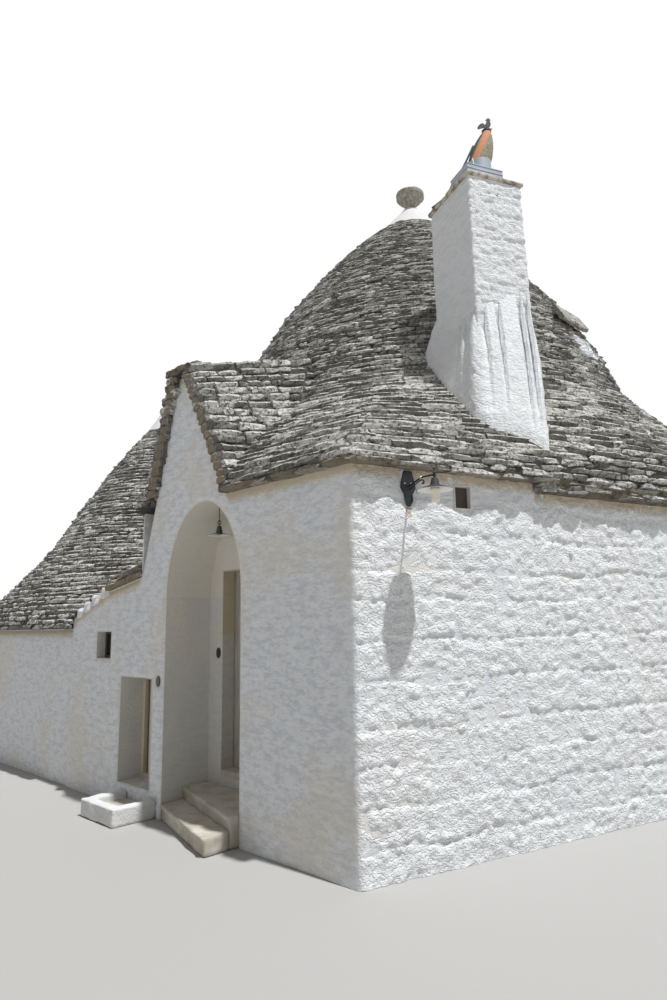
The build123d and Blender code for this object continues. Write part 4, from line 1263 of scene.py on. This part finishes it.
def apron():
    counts = side_steps(stack_corners(stack_foot), APRON_CELL)
    low_line, outward = plan_line(stack_corners(stack_foot), counts)
    high_line, _ = plan_line(stack_corners(stack_high.z), counts)
    u = np.concatenate([[0], np.cumsum(np.linalg.norm(np.diff(low_line, axis=0), axis=1))])[:-1]
    count = len(u)

    def on_stack(heights):
        share = ((heights - stack_foot) / (stack_high.z - stack_foot))[:, None]
        return low_line[:count] * (1 - share) + high_line[:count] * share

    marks = np.concatenate([[0], np.cumsum(counts)])
    places = np.arange(count)
    shifts = np.array([*APRON_SHIFTS, APRON_SHIFTS[0]])
    shift = np.stack([np.interp(places, marks, shifts[:, axis]) for axis in (0, 1)], axis=1)
    starts = on_stack(np.full(count, stack_foot + APRON_LEVEL))
    ends = starts + shift + outward[:count] * APRON_SPREAD
    feet = np.array([roof_height(end) for end in ends]) + APRON_OVER
    tops = np.maximum([roof_height(spot) for spot in starts], feet)
    tops = tops + np.interp(places, marks, (*APRON_RISES, APRON_RISES[0]))
    points = []
    for step in range(APRON_STEPS + 2):
        share = min(step / APRON_STEPS, 1.0)
        heights = tops * (1 - share) + feet * share
        spots = on_stack(heights) * (1 - share) + ends * share
        fade = min(share * APRON_FADE, 1.0)
        swell = (stack_heights(u, heights, STACK_SEED) + APRON_SWELL) * fade + APRON_SKIN
        drop = 0.0 if step <= APRON_STEPS else APRON_EDGE
        points += [(*(spots[k] + outward[k] * swell[k]), heights[k] - drop) for k in range(count)]
    faces = []
    for row in range(APRON_STEPS + 1):
        for k in range(count):
            a, b = row * count + k, row * count + (k + 1) % count
            faces.append((a, a + count, b + count, b))
    piece = plain_mesh("chimney_apron", points, faces, [finishes["limewash"]])
    store(piece.data, "rough", [APRON_ROUGH] * len(points))
    return piece


finish_piece(apron(), smooth=True)

# %% [markdown]
# Worn stones and thick caps are rounded all over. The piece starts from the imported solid, gets soft edges,
# is turned into an even mesh, and is pushed in and out by noise. It then takes the place of the solid.

# %% Weathered stones


def weathered(node, voxel, soft, depth, size, finish, shorten=1.0):
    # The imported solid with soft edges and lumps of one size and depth; shorten draws its far end back
    piece = placed("worn_" + node, frame["nodes"][node].data.copy())
    weld = piece.modifiers.new("weld", "WELD")
    weld.merge_threshold = 0.0002
    edge = piece.modifiers.new("edge", "BEVEL")
    edge.width, edge.segments, edge.limit_method = soft, 3, "ANGLE"
    even = piece.modifiers.new("even", "REMESH")
    even.mode, even.voxel_size = "VOXEL", voxel
    graph = bpy.context.evaluated_depsgraph_get()
    mesh = bpy.data.meshes.new_from_object(piece.evaluated_get(graph))
    piece.modifiers.clear()
    piece.data = mesh
    count = len(mesh.vertices)
    spots, ways = np.empty(count * 3, np.float32), np.empty(count * 3, np.float32)
    mesh.vertices.foreach_get("co", spots)
    mesh.vertices.foreach_get("normal", ways)
    spots, ways = spots.reshape(-1, 3).astype(float), ways.reshape(-1, 3)
    seed = sum(map(ord, node))
    relief = ripple(spots[:, 0] + spots[:, 2] * 0.7, spots[:, 1] - spots[:, 2] * 0.6, size, seed)
    across, slant = spots[:, 0] - spots[:, 1] * 0.8, spots[:, 2] + spots[:, 1] * 0.4
    relief += 0.5 * ripple(across, slant, size / 2.3, seed + 1)
    spots += ways * (relief * depth)[:, None]
    back = spots[:, 1] - spots[:, 1].min()
    spots[:, 1] -= back * (1.0 - shorten)
    spots[:, 2] -= back * (1.0 - shorten) * ridge_rise
    mesh.vertices.foreach_set("co", spots.ravel())
    mesh.materials.clear()
    mesh.materials.append(finishes[finish])
    finish_piece(piece, smooth=True)
    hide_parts(node)
    print("worn", node, len(mesh.polygons), "faces")


weathered("ridge_slab", 0.012, 0.02, 0.014, 0.08, "verge_stone", shorten=0.55)
for node, voxel, soft, depth, size, finish in (
    ("chimney_slab", 0.014, 0.012, 0.008, 0.10, "chimney_stone"),
    ("lower_step", 0.016, 0.018, 0.006, 0.14, "step_stone"),
    ("upper_step", 0.016, 0.018, 0.006, 0.14, "step_stone"),
    ("well_kerb", 0.014, 0.015, 0.005, 0.12, "cap_limewash"),
    ("main_cap", 0.030, 0.02, 0.012, 0.22, "cap_limewash"),
    ("main_pinnacle", 0.016, 0.02, 0.006, 0.08, "pinnacle_stone"),
    ("annex_cap", 0.030, 0.02, 0.010, 0.22, "cap_limewash"),
    ("annex_pinnacle", 0.014, 0.012, 0.005, 0.08, "pinnacle_stone"),
):
    weathered(node, voxel, soft, depth, size, finish)

# %% [markdown]
# The annex roof meets the street wall in two ways. Beside the gable a few short rows of slabs climb with the
# top of the wall. Further left the wall's own top shows as low white steps, with slabs behind them.

# %% Annex eave and wall top steps
ANNEX_TOP_LINE = ((-1.085, 2.330), (-1.880, 2.200), (-2.210, 2.080), (-2.685, 1.910))
EAVE_SLABS_FROM = -1.10
EAVE_SLABS_TO = -1.80
EAVE_ROW_BACK = 0.035
EAVE_ROW_TALL = 0.052
STEP_WIDE = 0.21
BEHIND_STEPS_TO = -2.35


def wall_top(x):
    spots = sorted(ANNEX_TOP_LINE)
    return float(np.interp(x, [p[0] for p in spots], [p[1] for p in spots]))


annex_eave_places = []
for row in range(3):
    x = EAVE_SLABS_FROM
    while x > EAVE_SLABS_TO:
        wide = chance.uniform(0.16, 0.30)
        slope = math.atan2(wall_top(x) - wall_top(x - wide), wide)
        height = wall_top(x - wide / 2) + 0.004 + row * EAVE_ROW_TALL
        spot = Vector((x - wide / 2, -0.075 + row * EAVE_ROW_BACK, height))
        turn = (math.radians(chance.uniform(1, 5)), -slope + math.radians(chance.normal(0, 1)), 0.0)
        size = (wide * 0.98, 0.3, EAVE_ROW_TALL)
        annex_eave_places.append((spot, turn, size, chance.uniform(0.1, 0.8), 1.0 if row == 0 else 0.5))
        x -= wide
behind_tree, behind_owners = surface_of(["annex_lower_roof", "annex_wall", "inner_wall", "annex_cone"])
for y in np.arange(0.20, 1.9, 0.13):
    x = EAVE_SLABS_FROM - 0.12
    while x > BEHIND_STEPS_TO:
        wide = chance.uniform(0.18, 0.30)
        start = Vector((x, y, eave_low.z - 0.06))
        spot, normal, index, _ = behind_tree.ray_cast(start, DOWN)
        if spot is not None and behind_owners[index] == "annex_lower_roof" and normal.z > 0.3:
            turn = (math.atan2(-normal.y, normal.z), math.atan2(normal.x, normal.z), 0.0)
            size = (wide, 0.2, 0.05)
            annex_eave_places.append((spot + normal * 0.03, turn, size, chance.uniform(0.3, 0.9), 0.2))
        x -= wide * 0.9
lay("annex_eave_slabs", annex_eave_places, seed=14)

step_places = []
x = EAVE_SLABS_TO
while x > ANNEX_TOP_LINE[-1][0] + STEP_WIDE * 0.4:
    wide = STEP_WIDE * chance.uniform(0.85, 1.2)
    spot = Vector((x - wide / 2, -0.022, wall_top(x) - 0.085))
    step_places.append((spot, (0.0, 0.0, chance.normal(0, 0.02)), (wide * 1.03, 0.2, 0.125), 0.5, 0.0))
    x -= wide
lay("wall_top_steps", step_places, finish=finishes["limewash"], break_depth=0.010, seed=15)

# %% [markdown]
# Many of the small pieces are bent rods, turned shapes or flat frames. Four helpers make them: a curve with
# a round section, a profile that is turned about an upright line, flat outlines that get a thickness, and a
# ring of four mitred bars.

# %% Rods, turned shapes and frames
ROUND_STEPS = 56


def bent_rod(name, points, radius, slot, finish=None, closed=False, straight=False):
    curve = bpy.data.curves.new(name, "CURVE")
    curve.dimensions = "3D"
    spline = curve.splines.new("POLY" if straight else "NURBS")
    spline.points.add(len(points) - 1)
    for point, spot in zip(spline.points, points):
        point.co = (*spot, 1.0)
    spline.use_cyclic_u = closed
    if not straight:
        spline.order_u = 3
        spline.use_endpoint_u = not closed
    curve.bevel_depth, curve.bevel_resolution, curve.use_fill_caps = radius, 3, True
    bent = bpy.data.objects.new(name + "_line", curve)
    bpy.context.scene.collection.objects.link(bent)
    mesh = bpy.data.meshes.new_from_object(bent.evaluated_get(bpy.context.evaluated_depsgraph_get()))
    bpy.data.objects.remove(bent)
    mesh.materials.clear()
    finish_piece(placed(name, mesh, [finish or finishes[slot]]), smooth=True)


def turned(name, profile, centre, finish):
    # profile is a closed line of (radius, height) that runs from the outside to the inside
    points, faces = [], []
    n = len(profile)
    for k in range(ROUND_STEPS):
        angle = 2 * math.pi * k / ROUND_STEPS
        for radius, height in profile:
            points.append((centre.x + radius * math.cos(angle), centre.y + radius * math.sin(angle), height))
    for k in range(ROUND_STEPS):
        a, b = k * n, (k + 1) % ROUND_STEPS * n
        for j in range(n):
            i = (j + 1) % n
            faces.append((a + j, b + j, b + i, a + i))
    piece = plain_mesh(name, points, faces, [finish])
    turn_faces_out(piece.data, weld=0.00005)
    finish_piece(piece, smooth=True)


def solid_piece(name, outlines, way, thick, soft, slot, finish=None, body=HOUSE):
    # Flat outlines pushed along way, with soft edges: each is a list of points in space
    cage = bmesh.new()
    for outline in outlines:
        face = cage.faces.new([cage.verts.new(spot) for spot in outline])
        grown = bmesh.ops.extrude_face_region(cage, geom=[face])
        moved = [e for e in grown["geom"] if isinstance(e, bmesh.types.BMVert)]
        bmesh.ops.translate(cage, verts=moved, vec=way * thick)
    bmesh.ops.recalc_face_normals(cage, faces=cage.faces)
    if soft:
        edges = [e for e in cage.edges if e.calc_face_angle(0.0) > 0.5]
        bmesh.ops.bevel(cage, geom=edges, offset=soft, segments=2, profile=0.5, affect="EDGES")
    bmesh.ops.triangulate(cage, faces=[f for f in cage.faces if len(f.verts) > 4])
    mesh = bpy.data.meshes.new(name)
    cage.to_mesh(mesh)
    cage.free()
    return finish_piece(placed(name, mesh, [finish or finishes[slot]]), body)


def ring_bars(corner, across, up, wide, tall, bar):
    # Four mitred bars inside a rectangle that starts at corner
    outer = [corner, corner + across * wide, corner + across * wide + up * tall, corner + up * tall]
    inner = [outer[0] + (across + up) * bar, outer[1] + (up - across) * bar,
             outer[2] - (across + up) * bar, outer[3] + (across - up) * bar]
    return [[outer[k], outer[(k + 1) % 4], inner[(k + 1) % 4], inner[k]] for k in range(4)]


X_WAY, Y_WAY, Z_WAY = Vector((1, 0, 0)), Vector((0, 1, 0)), Vector((0, 0, 1))
print("rods, turned shapes and frames ready")

# %% [markdown]
# The door stands deep in the niche, so the photo shows only a strip of it. It is a plain leaf of upright
# boards, painted grey. The stone around the doorway is tan where rain never reaches it. The window has a
# dark frame, and the vent has a raised border of plaster.

# %% Door, window and vent
DOOR_BOARDS = 6
BOARD_GAP = 0.001
LINING = 0.010
FRAME_BAR = 0.028
VENT_LIP = 0.010


def upright(x_from, x_to, y, z_from, z_to):
    # The corners of an upright rectangle that faces the street
    return [Vector((x, y, z)) for x, z in ((x_from, z_from), (x_to, z_from), (x_to, z_to), (x_from, z_to))]


door_low, door_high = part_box("entrance_door")
board = (door_high.x - door_low.x) / DOOR_BOARDS
boards_at = []
for k in range(DOOR_BOARDS):
    x = door_low.x + board * k
    boards_at.append(upright(x + BOARD_GAP, x + (board - BOARD_GAP), door_low.y, door_low.z, door_high.z))
door = solid_piece("door_boards", boards_at, Y_WAY, door_high.y - door_low.y, 0.005, "door_wood")
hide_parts("entrance_door")
sill_low, sill_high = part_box("door_sill")
head = door_high.z + 0.004
opening = [(sill_low.x, sill_high.z), (sill_low.x, head), (sill_high.x, head), (sill_high.x, sill_high.z)]
inner = [(sill_low.x + LINING, sill_high.z), (sill_low.x + LINING, head - LINING),
         (sill_high.x - LINING, head - LINING), (sill_high.x - LINING, sill_high.z)]
jamb_y = sill_low.y - 0.004
lining = [[Vector((x, jamb_y, z)) for x, z in (opening[k], opening[k + 1], inner[k + 1], inner[k])]
          for k in range(3)]
solid_piece("door_jamb", lining, Y_WAY, door_low.y - sill_low.y - 0.004, 0.0, "step_stone", jamb_stone)
handle = Vector((door_high.x - 0.09, door_low.y - 0.03, 1.42))
grip = [handle + Vector((0, y, z)) for y, z in ((0.035, 0.06), (0, 0.05), (0, -0.05), (0.035, -0.06))]
bent_rod("door_handle", grip, 0.007, "dark_iron")

pane_low, pane_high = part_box("small_window")
window_corner = Vector((pane_low.x, pane_low.y - 0.022, pane_low.z))
pane_wide, pane_tall = pane_high.x - pane_low.x, pane_high.z - pane_low.z
window_bars = ring_bars(window_corner, X_WAY, Z_WAY, pane_wide, pane_tall, FRAME_BAR)
middle_x = (pane_low.x + pane_high.x) / 2
window_bars.append(upright(middle_x - 0.011, middle_x + 0.011, window_corner.y, pane_low.z + FRAME_BAR,
                           pane_high.z - FRAME_BAR))
solid_piece("window_frame", window_bars, Y_WAY, 0.020, 0.003, "vent_brown")

side_out = Vector((side_way.y, -side_way.x, 0))
side_along = Vector((side_way.x, side_way.y, 0))
vent_low, vent_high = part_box("vent_panel")
vent_near = corner_of("vent_panel", 0.3, -1)
vent_far = corner_of("vent_panel", 0.3, 1)
vent_wide = (vent_far.xy - vent_near.xy).length + 2 * VENT_LIP
vent_tall = vent_high.z - vent_low.z + 2 * VENT_LIP
vent_corner = Vector((vent_near.x, vent_near.y, vent_low.z)) - (side_along + Z_WAY) * VENT_LIP
vent_corner += side_out * ((entrance_corner - vent_corner).dot(side_out) + 0.004)
vent_ring = ring_bars(vent_corner, side_along, Z_WAY, vent_wide, vent_tall, VENT_LIP)
solid_piece("vent_border", vent_ring, side_out, 0.016, 0.004, "limewash", niche_lime)
print("door, window and vent done")

# %% [markdown]
# The wall lamp is a black iron arm with a wide shade that is white enamel inside. From below the enamel shows
# as a bright ellipse. Two polished screws hold the plate, and a small scroll hangs under the arm.

# %% Lamp details
ENAMEL_INSET = 0.005
ENAMEL_THICK = 0.0016
plate_face = corner_of("lamp_plate", side_out.x, side_out.y)
plate_middle = middle_of("lamp_plate")
to_face = (plate_face - plate_middle).dot(side_out)


def enamel(name, node, line):
    # The white skin inside a shade: line holds radii and their heights over the rim
    low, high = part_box(node)
    skin = [((high.x - low.x) / 2 - ENAMEL_INSET, low.z + 0.0005)] + [(r, low.z + z) for r, z in line]
    skin += [(r, z - ENAMEL_THICK) for r, z in reversed(skin)]
    turned(name, skin, middle_of(node), shade_inside)


def on_plate(along_wall, height, out):
    spot = plate_middle + side_along * along_wall + side_out * (to_face + out)
    return Vector((spot.x, spot.y, height))


def dome(name, spot, radius, rise):
    # A low round head of polished steel that stands out from the wall
    cage = bmesh.new()
    bmesh.ops.create_uvsphere(cage, u_segments=14, v_segments=10, radius=radius)
    turn = side_out.to_track_quat("Z", "Y").to_matrix().to_4x4()
    flat_head = Matrix.Diagonal((1, 1, rise / radius, 1))
    bmesh.ops.transform(cage, matrix=Matrix.Translation(spot) @ turn @ flat_head, verts=cage.verts)
    mesh = bpy.data.meshes.new(name)
    cage.to_mesh(mesh)
    cage.free()
    finish_piece(placed(name, mesh, [polished]), smooth=True)


enamel("shade_lining", "lamp_shade", ((0.10, 0.008), (0.034, 0.018)))
polished = painted("polished_steel", shade(0.75, 0.76, 0.78), shade(0.5, 0.5, 0.5), 0.15, 0.9)
dome("plate_screw_1", on_plate(-0.036, 2.893, 0.001), 0.007, 0.005)
dome("plate_screw_2", on_plate(0.028, 2.897, 0.001), 0.007, 0.005)
dome("arm_knot", on_plate(0.0, 2.908, 0.183), 0.012, 0.012)
scroll = [(0.010, 2.842), (0.060, 2.852), (0.115, 2.872), (0.175, 2.888), (0.212, 2.884), (0.226, 2.868),
          (0.218, 2.853), (0.204, 2.853), (0.202, 2.863)]
bent_rod("arm_scroll", [on_plate(0.0, z, out) for out, z in scroll], 0.0055, "dark_iron")
leg = [(0.030, 2.800), (0.040, 2.765), (0.026, 2.735), (0.006, 2.705)]
for name, side in (("plate_leg_1", 1), ("plate_leg_2", -1)):
    bent_rod(name, [on_plate(side * a, z, 0.002) for a, z in leg], 0.007, "dark_iron")

# %% [markdown]
# The pendant hangs from a short rod with a ring in it. Its shade is white inside too.

# %% Pendant details
RING_WAY = Vector((0.714, 0.70, 0.0))
enamel("pendant_lining", "pendant_shade", ((0.09, 0.006), (0.030, 0.014)))
pendant_middle = middle_of("pendant_shade")
ring_middle = Vector((pendant_middle.x, pendant_middle.y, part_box("pendant_shade")[1].z + 0.035))
loop = [ring_middle + RING_WAY * (0.017 * math.cos(a)) + Z_WAY * (0.022 * math.sin(a))
        for a in np.linspace(0, 2 * math.pi, 12, endpoint=False)]
bent_rod("pendant_ring", loop, 0.004, "dark_iron", closed=True)

# %% [markdown]
# The chimney ends in a cowl: a tray and a collar of zinc sheet under two old roof tiles. Rolled edges stiffen
# the tray, and a bright strap holds the collar. A dark rod runs from the tiles down to the far corner of the
# slab.

# %% Cowl details
tray_low, tray_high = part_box("cowl_tray")
tray_corners = [corner_of("cowl_tray", *way) for way in ((-1, -0.2), (0.2, -1), (1, 0.2), (-0.2, 1))]
for k, z in enumerate((tray_low.z + 0.012, (tray_low.z + tray_high.z) / 2, tray_high.z)):
    bent_rod(f"tray_edge_{k}", [(c.x, c.y, z) for c in tray_corners], 0.007, "zinc_sheet", closed=True,
             straight=True)
collar_low, collar_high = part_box("cowl_collar")
collar_middle = middle_of("cowl_collar")
collar_reach = (collar_high.x - collar_low.x) / 2
strap_way = Vector((0.16, -0.98, 0.0))
strap_side = Vector((0.70, 0.70, 0.0))
strap = [collar_middle + strap_way * (collar_reach + out) + strap_side * aside + Z_WAY * (z - collar_middle.z)
         for out, aside, z in ((0.004, -0.02, collar_high.z - 0.005), (0.005, -0.012, collar_high.z - 0.07),
                               (0.008, 0.01, collar_low.z + 0.05), (0.016, 0.05, collar_low.z + 0.006))]
bent_rod("collar_strap", strap, 0.006, "zinc_sheet", polished)
slab_far = corner_of("chimney_slab", -0.94, 0.35)
slab_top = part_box("chimney_slab")[1].z
# A dark rod from the tiles down to the far corner of the slab
dark_rod_line = [(1.938, 2.130, 6.95), (1.900, 2.050, 6.76), (1.850, 2.000, 6.62), (1.770, 1.975, 6.545),
              (1.690, 2.000, slab_top + 0.030), (1.560, 2.060, slab_top + 0.012),
              (slab_far.x + 0.10, slab_far.y - 0.05, slab_top + 0.010)]
bent_rod("cowl_strap", dark_rod_line, 0.011, "dark_iron")

# %% [markdown]
# The weathercock is cut from sheet iron. Its outline is drawn as one closed line, a little fan of a tail, a
# back, a comb, a beak and a foot, and then it gets the thickness of the sheet.

# %% Weathercock
COCK = (
    (-0.098, 0.026), (-0.096, 0.048), (-0.080, 0.074), (-0.057, 0.093), (-0.032, 0.101), (-0.023, 0.088),
    (-0.012, 0.077), (0.000, 0.094), (0.009, 0.117), (0.003, 0.130), (-0.006, 0.137), (0.008, 0.142),
    (0.009, 0.156), (0.020, 0.152), (0.029, 0.170), (0.036, 0.154), (0.044, 0.146), (0.060, 0.137),
    (0.046, 0.130), (0.048, 0.117), (0.042, 0.121), (0.054, 0.098), (0.052, 0.071), (0.040, 0.048),
    (0.026, 0.037), (0.022, 0.026), (0.064, 0.030), (0.070, 0.020), (0.022, 0.012), (0.014, 0.001),
    (-0.012, 0.001), (-0.010, 0.026), (-0.030, 0.037), (-0.060, 0.031), (-0.085, 0.023),
)
SHEET = 0.004
cock_low, cock_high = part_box("weathercock")
cock_way = Vector((cock_high.x - cock_low.x, cock_high.y - cock_low.y, 0)).normalized()
cock_side = Vector((cock_way.y, -cock_way.x, 0))
spindle = middle_of("vane_spindle")
foot = Vector((spindle.x, spindle.y, cock_low.z)) - cock_side * SHEET / 2
outline = [foot + cock_way * across + Z_WAY * height for across, height in COCK]
cock = solid_piece("weathercock_sheet", [outline], cock_side, SHEET, 0.0, "dark_iron", body=VANE)
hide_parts("weathercock")
print("weathercock", len(cock.data.polygons), "faces")
